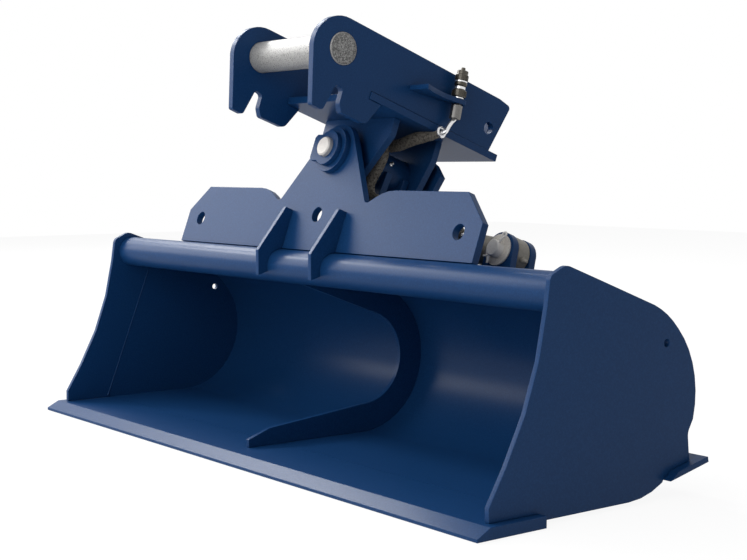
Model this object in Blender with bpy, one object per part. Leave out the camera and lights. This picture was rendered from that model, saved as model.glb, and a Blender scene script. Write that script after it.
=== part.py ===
"""Tilting ditching bucket for a small excavator, as separate pieces at their real size.

Metres, +Z up, +X across the bucket, +Y from the cutting edge towards the back. The origin
is the middle of the cutting edge's flat underside. The head that the excavator holds tilts
about an axis that slopes 20 degrees down towards the back. Places on that axis are given as
across (x), behind (a, from the front pivot plate's front face) and above (h, the axis is 0).
"""

from math import acos, asin, atan2, copysign, cos, hypot, pi, radians, sin, sqrt, tan

import bmesh
import bpy
from mathutils import Matrix, Vector

# Left between two pieces that touch
GAP = 0.0003

# Cutting edge
CUT_WIDTH = 1.200
BLADE_DEPTH = 0.1175
BLADE_THICK = 0.016
BLADE_NOSE = 0.0047
BLADE_BEVEL = 0.022

# Shell: a flat floor, a round back and a sloping flat top, one plate thick
FLOOR_LENGTH = 0.166
SHELL_BEND = 0.1238
SHELL_THICK = 0.008
SLOPE = radians(20.0)
TOP_LENGTH = 0.1592

# Side plates
SIDE_INSET = 0.013
SIDE_THICK = 0.008
SIDE_LIP = 0.0052
SIDE_PROUD = 0.0020
TOE_BACK = 0.0317
TOE_HEIGHT = 0.019
KNEE_BACK = 0.1143
KNEE_RISE = 0.1572
KNEE_ROUND = 0.516
BROW_AHEAD = 0.0356
BROW_RISE = 0.0239
PEAK_AHEAD = 0.0074
PEAK_ROUND = 0.018
TOE_IN = radians(0.9)
BEND_LINE_TOP = (0.052, 0.014)
BEND_LINE_FOOT = (0.0025, 0.019)
SIDE_HOLE = 0.0055
SIDE_HOLE_OUT = 0.104
SIDE_HOLE_ANGLE = radians(46.6)

# Rear levelling edge
REAR_DEPTH = 0.0813
REAR_THICK = 0.008
REAR_SLOPE = radians(12.2)
REAR_ANGLE = radians(-58.5)
REAR_OVERLAP = 0.0585

# Torque tube and centre rib
TUBE_RADIUS = 0.027
TUBE_WALL = 0.005
RIB_THICK = 0.008
RIB_DEPTH = 0.0458
RIB_FRONT_DEPTH = 0.0268
RIB_NOSE_DEPTH = 0.0126
RIB_FRONT_BACK = 0.0976
RIB_NOSE_BACK = 0.0580

# Tilt axis above the shell's top, and the pivot plate's front face ahead of the tube's middle
AXIS_HEIGHT = 0.1682
PLATE_AHEAD = 0.0077

# Front pivot plate
PLATE_THICK = 0.012
PLATE_MARGIN = 0.045
PLATE_SIDE_RISE = 0.0592
PLATE_CORNER = 0.0465
PLATE_TOP = 0.104
PLATE_HEAD = 0.0466
NOTCH_HALF = 0.1178
NOTCH_DEPTH = 0.0238
NOTCH_START = 0.160
NOTCH_ROUND = 0.010

# Gussets in front of the pivot plate
GUSSET_SPREAD = 0.0733
GUSSET_THICK = 0.008
GUSSET_TOP = 0.0667
GUSSET_REACH = 0.0431
GUSSET_LIP = 0.0147

# Rear pivot plate
REAR_PLATE_AT = 0.160
REAR_PLATE_HALF = 0.150
REAR_HEAD_TOP = 0.0420
REAR_HEAD_HALF = 0.0785

# Tilt pin, its bushes, boss and keeper
TILT_PIN = 0.016
TILT_PIN_NOSE = 0.0265
TILT_PIN_TAIL = 0.014
BOSS_RADIUS = 0.038
BOSS_THICK = 0.0097
KEEPER_RADIUS = 0.029
KEEPER_THICK = 0.0085
KEEPER_SIDE = 0.038
KEEPER_HALF = 0.022
BUSH_WALL = 0.004
BUSH_LENGTH = 0.040

# Hub, arms and levers of the tilting head
HUB_RADIUS = 0.032
FRONT_ARM_AT = 0.0286
ARM_THICK = 0.012
FRONT_ARM_HALF = 0.092
FRONT_ARM_WAIST = 0.0383
FRONT_ARM_ROUND = 0.0545
REAR_ARM_AT = 0.1346
REAR_ARM_HALF = 0.077
REAR_ARM_WAIST = 0.034
REAR_ARM_ROUND = 0.062
LEVER_LENGTH = 0.1078
LEVER_HUB = 0.040
LEVER_END = 0.026
CLEVIS_MIDDLE = 0.1075
CLEVIS_SPACE = 0.025

# Head base plate, ears and hitch shaft
BASE_HEIGHT = 0.0668
BASE_THICK = 0.012
BASE_AHEAD = 0.0464
BASE_BEHIND = 0.2326
BASE_HALF = 0.1187
EAR_THICK = 0.012
EAR_INSIDE = 0.1046
EAR_TOP = 0.1678
EAR_CROWN = 0.052
EAR_BACK = 0.2350
EAR_CORNER = 0.1636
EAR_CHAMFER = 0.0274
CROSS_PLATE_AT = 0.2100
CROSS_PLATE_TOP = 0.158
SHAFT_RADIUS = 0.025
SHAFT_AHEAD = 0.1177
SHAFT_HEIGHT = 0.1197
SHAFT_PROUD = 0.0016
LIFT_HOLE = 0.010
LIFT_HOLE_AT = (0.2005, 0.1135)

# Cylinder and its pins
CYLINDER_SIDE = 0.350
CYLINDER_HEIGHT = -0.1242
BASE_PIN = 0.0125
BASE_PIN_NOSE = 0.068
LUG_THICK = 0.012
LUG_HALF = 0.028
LUG_FOOT = 0.006
EYE_RADIUS = 0.027
EYE_WIDTH = 0.023
WASHER_RADIUS = 0.0238
WASHER_THICK = 0.003
SPLIT_PIN_WIRE = 0.00125
SPLIT_PIN_LEAN = radians(43.0)
LEVER_PIN = 0.010
LEVER_PIN_HEAD = 0.015
LEVER_PIN_HEAD_THICK = 0.003
BARREL_RADIUS = 0.0225
BARREL_BORE = 0.0175
BARREL_START = 0.030
BARREL_CAP = 0.015
BARREL_END = 0.236
GLAND_COLLAR = 0.010
GLAND_SLEEVE = 0.024
ROD_RADIUS = 0.0125
PISTON_WIDTH = 0.024
ROD_NOSE = 0.004
ROD_EYE_RADIUS = 0.032
BASE_PORT_AT = 0.052
GLAND_PORT_AT = 0.205
PORT_RADIUS = 0.011
PORT_HEIGHT = 0.008

# The rod's eye follows the lever pin on straight ratios, so its bore is this much wider all
# round, and the eye sits lifted at mid stroke, half of the pin's rise and fall
EYE_PLAY = 0.0142
EYE_LIFT = 0.0132

# Hydraulic hoses and couplings
HOSE_RADIUS = 0.0085
HOSE_START = (0.108, 0.0560, 0.096)
HOSE_END_RISE = 0.1148
HOSE_END_LENGTH = 0.0262
BANJO_RADIUS = 0.013
BANJO_HEIGHT = 0.014
BANJO_LEAN = radians(25.0)
COUPLER_RADIUS = 0.011
COUPLER_BEHIND = 0.1100
NUT_FOOT = 0.0985
NUT_LENGTH = 0.0185
STEM_RADIUS = 0.004

ROUND = 36
SMALL_ROUND = 16
ARC_STEP = radians(9)


class Frame:
    """A place to draw in: its point (u, v, w) lies along three unit vectors from an origin."""

    def __init__(self, origin, across, up, out):
        self.origin = Vector(origin)
        self.across = Vector(across).normalized()
        self.up = Vector(up).normalized()
        self.out = Vector(out).normalized()

    def at(self, u, v, w=0.0):
        return self.origin + self.across * u + self.up * v + self.out * w

    def moved(self, u, v, w=0.0):
        return Frame(self.at(u, v, w), self.across, self.up, self.out)


X = Vector((1, 0, 0))
BACK = Vector((0, cos(SLOPE), -sin(SLOPE)))
ABOVE = Vector((0, sin(SLOPE), cos(SLOPE)))

# Section of the bucket, seen from its side: (y, z), thick along x
SECTION = Frame((0, 0, 0), (0, 1, 0), (0, 0, 1), X)
SHELL_OUT = SHELL_BEND + SHELL_THICK
AXIS_AHEAD = TOP_LENGTH + PLATE_AHEAD
BEND = SECTION.moved(BLADE_DEPTH / 2 + FLOOR_LENGTH, BLADE_THICK + SHELL_BEND)
AXIS_POINT = BEND.origin + ABOVE * (SHELL_OUT + AXIS_HEIGHT) - BACK * AXIS_AHEAD

# Face of the pivot plates: (x, h), thick along a. Side of the head: (a, h), thick along x
FACE = Frame(AXIS_POINT, X, ABOVE, BACK)
FLANK = Frame(AXIS_POINT, BACK, ABOVE, X)
SHELL_TOP = -AXIS_HEIGHT
TUBE_AT = (PLATE_AHEAD, SHELL_TOP - TUBE_RADIUS)

SIDE_OUT = CUT_WIDTH / 2 - SIDE_INSET
SIDE_IN = SIDE_OUT - SIDE_THICK
BASE_TOP = BASE_HEIGHT + BASE_THICK
EAR_OUTSIDE = EAR_INSIDE + EAR_THICK
CLEVIS_FRONT = CLEVIS_MIDDLE - CLEVIS_SPACE / 2
CLEVIS_REAR = CLEVIS_MIDDLE + CLEVIS_SPACE / 2
REAR_PLATE_BACK = REAR_PLATE_AT + PLATE_THICK
PLATE_HALF = CYLINDER_SIDE + PLATE_MARGIN
PLATE_TOP_HALF = PLATE_HALF - PLATE_CORNER

PAINT = ("navy_paint", (0.012, 0.028, 0.075), 0.35, 0.0)
RAW_STEEL = ("raw_steel", (0.45, 0.44, 0.42), 0.45, 1.0)
BLASTED_STEEL = ("blasted_steel", (0.60, 0.60, 0.59), 0.55, 1.0)
BRIGHT_STEEL = ("bright_steel", (0.72, 0.72, 0.73), 0.18, 1.0)
PRIMER = ("grey_primer", (0.25, 0.235, 0.21), 0.5, 0.1)
BRONZE = ("bronze", (0.50, 0.33, 0.14), 0.4, 1.0)
RUBBER = ("hose_rubber", (0.20, 0.18, 0.155), 0.6, 0.0)


def clear_scene():
    for item in list(bpy.data.objects):
        bpy.data.objects.remove(item, do_unlink=True)


def finish_material(finish):
    name, colour, roughness, metallic = finish
    material = bpy.data.materials.get(name)
    if material is None:
        material = bpy.data.materials.new(name)
        material.use_nodes = True
        shader = material.node_tree.nodes["Principled BSDF"]
        shader.inputs["Base Color"].default_value = (*colour, 1.0)
        shader.inputs["Roughness"].default_value = roughness
        shader.inputs["Metallic"].default_value = metallic
        material.diffuse_color = (*colour, 1.0)
    return material


def placed(name, data, finish, carrier):
    """Puts a mesh or curve in the scene, under the empty that carries it."""
    data.materials.append(finish_material(finish))
    item = bpy.data.objects.new(name, data)
    bpy.context.scene.collection.objects.link(item)
    if carrier is not None:
        item.parent = carrier
        item.matrix_parent_inverse = Matrix.Translation(-carrier.location)
    return item


def solid(name, mesh, finish, carrier=None):
    """A closed bmesh made into an object, with its faces out and its round sides smooth."""
    bmesh.ops.recalc_face_normals(mesh, faces=mesh.faces)
    data = bpy.data.meshes.new(name)
    mesh.to_mesh(data)
    mesh.free()
    data.shade_smooth()
    data.set_sharp_from_angle(angle=radians(30))
    return placed(name, data, finish, carrier)


def joint_empty(name, point):
    empty = bpy.data.objects.new(name, None)
    empty.location = point
    empty.empty_display_size = 0.05
    bpy.context.scene.collection.objects.link(empty)
    return empty


def polar(centre, radius, angle):
    return (centre[0] + radius * cos(angle), centre[1] + radius * sin(angle))


def arc(centre, radius, start, end):
    steps = max(2, round(abs(end - start) / ARC_STEP))
    return [polar(centre, radius, start + (end - start) * k / steps) for k in range(steps + 1)]


def circle(centre, radius, sides=ROUND):
    return [polar(centre, radius, 2 * pi * k / sides) for k in range(sides)]


def rounded(corners):
    """A closed outline from (u, v) or (u, v, radius) corners, each radius drawn as an arc."""
    outline = []
    for k, corner in enumerate(corners):
        here = Vector(corner[:2])
        if len(corner) == 2:
            outline.append(tuple(here))
            continue
        back = (Vector(corners[k - 1][:2]) - here).normalized()
        ahead = (Vector(corners[(k + 1) % len(corners)][:2]) - here).normalized()
        half = back.angle(ahead) / 2
        centre = here + (back + ahead).normalized() * corner[2] / sin(half)
        start = here + back * corner[2] / tan(half) - centre
        end = here + ahead * corner[2] / tan(half) - centre
        first = atan2(start.y, start.x)
        turn = (atan2(end.y, end.x) - first + pi) % (2 * pi) - pi
        outline += arc(centre, corner[2], first, first + turn)
    return outline


def mirrored(half):
    """An outline from its right half, listed from the bottom up."""
    return half + [(-corner[0], *corner[1:]) for corner in reversed(half)]


def touch_angle(point, radius):
    """Angle, on a circle about the frame's middle, where a line from a point on the right
    and below touches its right side."""
    return atan2(point[1], point[0]) + acos(radius / hypot(*point[:2]))


def prism(name, frame, outline, near, far, finish, carrier=None, holes=()):
    """A flat plate: an outline with holes in the frame's (u, v), from w = near to far."""
    mesh = bmesh.new()
    edges = []
    for loop in (outline, *holes):
        points = [mesh.verts.new(frame.at(u, v, near)) for u, v in loop]
        edges += [mesh.edges.new((points[k - 1], points[k])) for k in range(len(points))]
    bmesh.ops.triangle_fill(mesh, edges=edges, use_beauty=True)
    grown = bmesh.ops.extrude_face_region(mesh, geom=mesh.faces[:])
    moved = [part for part in grown["geom"] if isinstance(part, bmesh.types.BMVert)]
    bmesh.ops.translate(mesh, vec=frame.out * (far - near), verts=moved)
    return solid(name, mesh, finish, carrier)


def turned(name, frame, profile, finish, carrier=None, ring=False, sides=ROUND):
    """A (radius, w) profile turned about the frame's out direction. A ring's profile is a
    closed loop, and any other profile starts and ends on the axis."""
    mesh = bmesh.new()
    rings = []
    for radius, w in profile:
        if radius == 0:
            rings.append([mesh.verts.new(frame.at(0, 0, w))] * sides)
        else:
            rings.append([mesh.verts.new(frame.at(*p, w)) for p in circle((0, 0), radius, sides)])
    pairs = list(zip(rings, rings[1:]))
    if ring:
        pairs.append((rings[-1], rings[0]))
    for one, two in pairs:
        for k in range(sides):
            loop = (one[k - 1], one[k], two[k], two[k - 1])
            mesh.faces.new(dict.fromkeys(loop))
    return solid(name, mesh, finish, carrier)


def ring_profile(inner, outer, near, far, edge=0.0):
    """Section of a plain ring, with its outer corners cut by edge."""
    if edge == 0:
        return [(inner, near), (outer, near), (outer, far), (inner, far)]
    return [
        (inner, near),
        (outer - edge, near),
        (outer, near + edge),
        (outer, far - edge),
        (outer - edge, far),
        (inner, far),
    ]


def pin_profile(radius, near, far, edge):
    """Section of a plain pin with both ends chamfered."""
    return [
        (0, near),
        (radius - edge, near),
        (radius, near + edge),
        (radius, far - edge),
        (radius - edge, far),
        (0, far),
    ]


def boolean(item, other, operation):
    """Cuts or joins with another object, which becomes a hidden helper."""
    step = item.modifiers.new(other.name, "BOOLEAN")
    step.operation = operation
    step.solver = "EXACT"
    step.object = other
    other.hide_render = True
    other.display_type = "WIRE"


def smooth_route(points, spacing):
    """Points along a smooth curve through the route's own points, about one spacing apart."""
    route = [Vector(point) for point in points]
    route = [route[0] * 2 - route[1], *route, route[-1] * 2 - route[-2]]
    smooth = []
    for before, start, end, after in zip(route, route[1:], route[2:], route[3:]):
        steps = max(1, round((end - start).length / spacing))
        for k in range(steps):
            t = k / steps
            smooth.append(
                (
                    start * 2
                    + (end - before) * t
                    + (before * 2 - start * 5 + end * 4 - after) * t**2
                    + (start * 3 - before - end * 3 + after) * t**3
                )
                / 2
            )
    return [*smooth, route[-2]]


def wire(name, points, radius, finish, carrier=None, resolution=2):
    """A round wire, pipe or hose along its points, with closed ends."""
    curve = bpy.data.curves.new(name, "CURVE")
    curve.dimensions = "3D"
    curve.bevel_depth = radius
    curve.bevel_resolution = resolution
    curve.use_fill_caps = True
    spline = curve.splines.new("POLY")
    spline.points.add(len(points) - 1)
    for place, point in zip(spline.points, points):
        place.co = (*point, 1)
    return placed(name, curve, finish, carrier)


def meet_circle(point, angle, radius):
    """Where a line through a point, running back towards the front, meets a circle about
    the shell's bend, in the section's (y, z)."""
    centre = Vector((BEND.origin.y, BEND.origin.z))
    ahead = -Vector((cos(angle), sin(angle)))
    offset = Vector(point) - centre
    along = offset.dot(ahead)
    return tuple(Vector(point) + ahead * (-along - sqrt(along**2 - offset.length**2 + radius**2)))


def bend_angle(point):
    return atan2(point[1] - BEND.origin.z, point[0] - BEND.origin.y)


def flat(point):
    """A world point's place in the bucket's section."""
    return (point.y, point.z)


def on_bend(radius, angle):
    return polar(flat(BEND.origin), radius, angle)


def top_plane(radius, behind):
    """A point on the flat top at a distance from the bend's middle, behind along the axis."""
    return flat(BEND.origin + ABOVE * radius + BACK * (behind - AXIS_AHEAD))


TUBE_MIDDLE = flat(FLANK.at(*TUBE_AT))


def around_tube(start, end, clearance=GAP):
    """An arc just clear of the torque tube, between two angles above the axis's direction."""
    return arc(TUBE_MIDDLE, TUBE_RADIUS + clearance, start - SLOPE, end - SLOPE)


def cutting_edge():
    front = -BLADE_DEPTH / 2
    back = BLADE_DEPTH / 2
    outline = [
        (front, 0),
        (back, 0),
        (back, BLADE_THICK),
        (front + BLADE_BEVEL, BLADE_THICK),
        (front, BLADE_NOSE),
    ]
    half = CUT_WIDTH / 2
    prism("cutting_edge", SECTION, outline, -half, half, PAINT)


def shell():
    """Floor, round back and flat top, ending in a lap against the torque tube."""
    start = BLADE_DEPTH / 2 + GAP
    down = -pi / 2
    up = pi / 2 - SLOPE
    outer_end = asin(TUBE_RADIUS / (TUBE_RADIUS + GAP))
    inner_end = asin((TUBE_RADIUS - SHELL_THICK) / (TUBE_RADIUS + GAP))
    outline = [
        (start, BLADE_THICK - SHELL_THICK),
        *arc(flat(BEND.origin), SHELL_OUT, down, up),
        *around_tube(outer_end, inner_end),
        *arc(flat(BEND.origin), SHELL_BEND, up, down),
        (start, BLADE_THICK),
    ]
    half = SIDE_IN - GAP
    toe_in(prism("shell", SECTION, outline, -half, half, PAINT))


def rear_edge_lines():
    """The rear edge's corners in section: bottom front, bottom back, top back, top front."""
    bottom_front = on_bend(SHELL_OUT + GAP, REAR_ANGLE)
    along = Vector((cos(REAR_SLOPE), sin(REAR_SLOPE)))
    square = Vector((-sin(REAR_SLOPE), cos(REAR_SLOPE)))
    bottom_back = Vector(bottom_front) + along * REAR_DEPTH
    top_back = bottom_back + square * REAR_THICK
    top_front = meet_circle(top_back, REAR_SLOPE, SHELL_OUT + GAP)
    return bottom_front, tuple(bottom_back), tuple(top_back), top_front


def rear_edge():
    bottom_front, bottom_back, top_back, top_front = rear_edge_lines()
    bend = arc(flat(BEND.origin), SHELL_OUT + GAP, bend_angle(top_front), REAR_ANGLE)
    outline = [bottom_back, top_back, *bend[:-1], bottom_front]
    half = CUT_WIDTH / 2
    prism("rear_edge", SECTION, outline, -half, half, PAINT)


def side_outline():
    """Outline of a side plate, from the toe up the front, over the back and underneath."""
    front = -BLADE_DEPTH / 2
    brow = (TUBE_MIDDLE[0] - BROW_AHEAD, TUBE_MIDDLE[1] + BROW_RISE, 0.012)
    lip = SHELL_OUT + SIDE_LIP
    peak = top_plane(lip, 0)
    slide = (TUBE_MIDDLE[0] - PEAK_AHEAD - peak[0]) / cos(SLOPE)
    peak = top_plane(lip, slide)
    corners = [
        (front + TOE_BACK, BLADE_THICK + GAP),
        (front + TOE_BACK, BLADE_THICK + TOE_HEIGHT),
        (front + KNEE_BACK, BLADE_THICK + KNEE_RISE, KNEE_ROUND),
        brow,
        (*peak, PEAK_ROUND),
    ]
    swept = radians(25)
    up = pi / 2 - SLOPE
    for k in range(5):
        share = k / 4
        radius = lip + (SIDE_PROUD - SIDE_LIP) * share
        corners.append(on_bend(radius, up - swept * share))
    _, _, top_back, _ = rear_edge_lines()
    rest = Vector(top_back) + Vector((-sin(REAR_SLOPE), cos(REAR_SLOPE))) * GAP
    landing = meet_circle(tuple(rest), REAR_SLOPE, SHELL_OUT + REAR_OVERLAP / 2)
    seat = meet_circle(tuple(rest), REAR_SLOPE, SHELL_OUT)
    low = radians(-15)
    corners += arc(flat(BEND.origin), SHELL_OUT + SIDE_PROUD, up - swept, low)[1:]
    corners += [
        (*on_bend(SHELL_OUT - 0.002, radians(-24)), 0.018),
        (landing[0] - 0.012, landing[1] + 0.010, 0.004),
        (landing[0] - 0.010, meet_height(landing, rest, landing[0] - 0.010)),
        seat,
    ]
    corners += arc(flat(BEND.origin), SHELL_OUT, bend_angle(seat), REAR_ANGLE)[1:]
    corners += arc(flat(BEND.origin), SHELL_OUT + SIDE_PROUD, REAR_ANGLE - radians(1.5), -pi / 2)
    corners += [
        (BLADE_DEPTH / 2 + GAP, BEND.origin.z - SHELL_OUT - SIDE_PROUD),
        (BLADE_DEPTH / 2 + GAP, BLADE_THICK + GAP),
    ]
    return rounded(corners)


def meet_height(one, two, y):
    """Height at y of the line through two points of the section."""
    return one[1] + (two[1] - one[1]) * (y - one[0]) / (two[0] - one[0])


def toe_in(item):
    """Bends the ends of a piece inwards ahead of the side plates' bend line."""
    top = Vector((0, TUBE_MIDDLE[0] + BEND_LINE_TOP[0], TUBE_MIDDLE[1] + BEND_LINE_TOP[1]))
    foot = Vector((0, BLADE_DEPTH / 2 - BEND_LINE_FOOT[0], BLADE_THICK + BEND_LINE_FOOT[1]))
    ahead = X.cross(top - foot).normalized()
    mesh = bmesh.new()
    mesh.from_mesh(item.data)
    everything = mesh.verts[:] + mesh.edges[:] + mesh.faces[:]
    bmesh.ops.bisect_plane(mesh, geom=everything, plane_co=foot, plane_no=ahead, dist=1e-6)
    for vert in mesh.verts:
        reach = (vert.co - foot).dot(-ahead if ahead.y > 0 else ahead)
        if reach > 0 and abs(vert.co.x) > SIDE_IN - SIDE_THICK:
            vert.co.x -= copysign(reach * tan(TOE_IN), vert.co.x)
    bmesh.ops.triangulate(mesh, faces=mesh.faces)
    mesh.to_mesh(item.data)
    mesh.free()


def side_plate(name, side):
    """One side plate, its part ahead of the bend line toed in a little."""
    hole = circle(on_bend(SIDE_HOLE_OUT, SIDE_HOLE_ANGLE), SIDE_HOLE, SMALL_ROUND)
    inner = side * SIDE_IN
    outer = side * SIDE_OUT
    toe_in(prism(name, SECTION, side_outline(), inner, outer, PAINT, holes=(hole,)))


def torque_tube():
    frame = Frame(FLANK.at(*TUBE_AT), BACK, ABOVE, X)
    half = SIDE_IN - GAP
    profile = ring_profile(TUBE_RADIUS - TUBE_WALL, TUBE_RADIUS, -half, half)
    toe_in(turned("torque_tube", frame, profile, PAINT, ring=True))


def centre_rib():
    """Rib from the blade over the floor and round the back, ending on the torque tube."""
    front = -BLADE_DEPTH / 2
    down = -pi / 2
    up = pi / 2 - SLOPE
    rim = SHELL_BEND - GAP
    floor = BLADE_THICK + GAP
    inner_end = asin((TUBE_RADIUS - SHELL_THICK - GAP) / (TUBE_RADIUS + GAP))
    under = -asin(min(1.0, (rim - RIB_DEPTH - SHELL_OUT + TUBE_RADIUS) / -(TUBE_RADIUS + GAP)))
    outline = [
        (front + RIB_NOSE_BACK, floor),
        *arc(flat(BEND.origin), rim, down, up),
        *around_tube(inner_end, under),
        *arc(flat(BEND.origin), rim - RIB_DEPTH, up, down),
        (front + RIB_FRONT_BACK, BLADE_THICK + RIB_FRONT_DEPTH),
        (front + RIB_NOSE_BACK, BLADE_THICK + RIB_NOSE_DEPTH),
    ]
    prism("centre_rib", SECTION, outline, -RIB_THICK / 2, RIB_THICK / 2, PAINT)


def front_pivot_plate():
    """Cross plate with a round head for the tilt pin between two notches."""
    base = SHELL_TOP + GAP
    side_top = SHELL_TOP + PLATE_SIDE_RISE
    top = SHELL_TOP + PLATE_TOP
    notch = (NOTCH_HALF, top - NOTCH_DEPTH, NOTCH_ROUND)
    angle = touch_angle(notch, PLATE_HEAD)
    half = [
        (PLATE_HALF, base),
        (PLATE_HALF, side_top),
        (PLATE_TOP_HALF, top),
        (NOTCH_START, top, 0.090),
        notch,
        *arc((0, 0), PLATE_HEAD, angle, pi / 2)[:-1],
    ]
    holes = [
        circle((0, 0), TILT_PIN + GAP),
        circle((0, -LEVER_LENGTH), BASE_PIN, SMALL_ROUND),
        circle((-CYLINDER_SIDE, CYLINDER_HEIGHT), BASE_PIN - 0.0005, SMALL_ROUND),
        circle((CYLINDER_SIDE, CYLINDER_HEIGHT), BASE_PIN - 0.0005, SMALL_ROUND),
    ]
    outline = rounded(mirrored(half))
    prism("front_pivot_plate", FACE, outline, 0, PLATE_THICK, PAINT, holes=holes)


def gusset(name, side):
    """Tie between the torque tube and the front of the pivot plate."""
    top = SHELL_TOP + GUSSET_TOP
    knee = (-GUSSET_REACH, TUBE_AT[1] + 0.0105)
    toe = (-GUSSET_REACH * 0.67, TUBE_AT[1] - 0.0280)
    toe_angle = atan2(toe[1] - TUBE_AT[1], toe[0] - TUBE_AT[0])
    face_angle = pi - acos((TUBE_AT[0] + GAP) / (TUBE_RADIUS + GAP))
    saddle = arc(TUBE_AT, TUBE_RADIUS + GAP, toe_angle + 2 * pi, face_angle)
    outline = [(-GAP, top), (-GUSSET_LIP, top), knee, toe, *saddle]
    middle = side * GUSSET_SPREAD
    half = GUSSET_THICK / 2
    prism(name, FLANK, outline, middle - half, middle + half, PAINT)


def rear_pivot_plate():
    """Narrow plate that holds the tilt pin's rear end, spread to a foot on the shell."""
    base = SHELL_TOP + GAP
    half = [
        (REAR_PLATE_HALF, base),
        (REAR_PLATE_HALF - 0.020, base + 0.028, 0.020),
        (REAR_HEAD_HALF - 0.012, base + 0.062, 0.040),
        (REAR_HEAD_HALF - 0.008, -0.0063, 0.015),
        (REAR_HEAD_HALF, 0.0150),
        (REAR_HEAD_HALF - 0.0236, 0.0362),
        (REAR_HEAD_HALF - 0.0360, REAR_HEAD_TOP),
    ]
    holes = [circle((0, 0), TILT_PIN + GAP)]
    outline = rounded(mirrored(half))
    prism("rear_pivot_plate", FACE, outline, REAR_PLATE_AT, REAR_PLATE_BACK, PAINT, holes=holes)


def tilt_pin_parts():
    """Boss welded on the front plate, the pin through both plates, and its keeper."""
    boss = ring_profile(TILT_PIN + GAP, BOSS_RADIUS, -GAP - BOSS_THICK, -GAP)
    turned("pivot_boss", FACE, boss, PAINT, ring=True)
    pin = pin_profile(TILT_PIN, -TILT_PIN_NOSE, REAR_PLATE_BACK + TILT_PIN_TAIL, 0.002)
    turned("tilt_pin", FACE, pin, RAW_STEEL)
    back = -BOSS_THICK - 2 * GAP
    squared = asin(KEEPER_HALF / KEEPER_RADIUS)
    outline = arc((0, 0), KEEPER_RADIUS, squared - pi, pi - squared)
    corner = 0.005
    outline += [
        (-KEEPER_SIDE + corner, KEEPER_HALF),
        (-KEEPER_SIDE, KEEPER_HALF - corner),
        (-KEEPER_SIDE, corner - KEEPER_HALF),
        (-KEEPER_SIDE + corner, -KEEPER_HALF),
    ]
    hole = circle((0, 0), TILT_PIN + GAP)
    prism("keeper_plate", FACE, outline, back - KEEPER_THICK, back, PAINT, holes=[hole])


def hub(carrier):
    """Hub tube that turns on the tilt pin, with a bronze bush in each end."""
    front = PLATE_THICK + 2 * GAP
    rear = REAR_PLATE_AT - 2 * GAP
    bore = TILT_PIN + GAP + BUSH_WALL + GAP
    profile = ring_profile(bore, HUB_RADIUS, front, rear)
    turned("hub_tube", FACE, profile, PAINT, carrier, ring=True)
    for name, start in (("bush_front", front), ("bush_rear", rear - BUSH_LENGTH)):
        bush = ring_profile(TILT_PIN + GAP, bore - GAP, start, start + BUSH_LENGTH)
        turned(name, FACE, bush, BRONZE, carrier, ring=True)


def arm(name, at, half_width, waist, radius, carrier):
    """Hanger between the head's base plate and the hub, round at its lower end."""
    top = BASE_HEIGHT - GAP
    shoulder = (half_width, waist, 0.020)
    angle = atan2(waist, half_width) - acos(radius / hypot(half_width, waist))
    half = [*arc((0, 0), radius, ARC_STEP - pi / 2, angle), shoulder, (half_width, top)]
    hole = circle((0, 0), HUB_RADIUS + GAP)
    outline = rounded(mirrored(half))
    prism(name, FACE, outline, at, at + ARM_THICK, PAINT, carrier, holes=[hole])


def lever_plate(name, at, carrier):
    """Link plate under the hub, saddled on it, that carries the rod's pin."""
    lean = asin((LEVER_HUB - LEVER_END) / LEVER_LENGTH)
    saddle = arc((0, 0), HUB_RADIUS + GAP, -lean, -pi + lean)
    lower = arc((0, -LEVER_LENGTH), LEVER_END, pi + lean, 2 * pi - lean)
    outline = [polar((0, 0), LEVER_HUB, -lean), *saddle, polar((0, 0), LEVER_HUB, pi + lean), *lower]
    hole = circle((0, -LEVER_LENGTH), LEVER_PIN + GAP, SMALL_ROUND)
    prism(name, FACE, outline, at, at + LUG_THICK, PAINT, carrier, holes=[hole])


def lever_pin(front, rear, carrier):
    """Pin for the rod's eye, with a head at the front and a split ring at the rear."""
    frame = FACE.moved(0, -LEVER_LENGTH)
    head = front - GAP
    tail = rear + GAP
    ring = LEVER_PIN_HEAD_THICK
    groove = LEVER_PIN - 0.0015
    profile = [
        (0, head - ring),
        (LEVER_PIN_HEAD - 0.001, head - ring),
        (LEVER_PIN_HEAD, head - ring + 0.001),
        (LEVER_PIN_HEAD, head),
        (LEVER_PIN, head),
        (LEVER_PIN, tail),
        (groove, tail),
        (groove, tail + ring),
        (LEVER_PIN, tail + ring),
        (LEVER_PIN - 0.001, tail + 2 * ring),
        (0, tail + 2 * ring),
    ]
    turned("lever_pin", frame, profile, RAW_STEEL, carrier, sides=SMALL_ROUND)
    snap = ring_profile(groove + GAP, LEVER_PIN_HEAD, tail + GAP, tail + ring - GAP)
    turned("lever_pin_ring", frame, snap, RAW_STEEL, carrier, ring=True, sides=SMALL_ROUND)


def base_plate(carrier):
    outline = [
        (-BASE_AHEAD, BASE_HEIGHT),
        (BASE_BEHIND, BASE_HEIGHT),
        (BASE_BEHIND, BASE_TOP),
        (-BASE_AHEAD, BASE_TOP),
    ]
    prism("head_base_plate", FLANK, outline, -BASE_HALF, BASE_HALF, PAINT, carrier)


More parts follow.
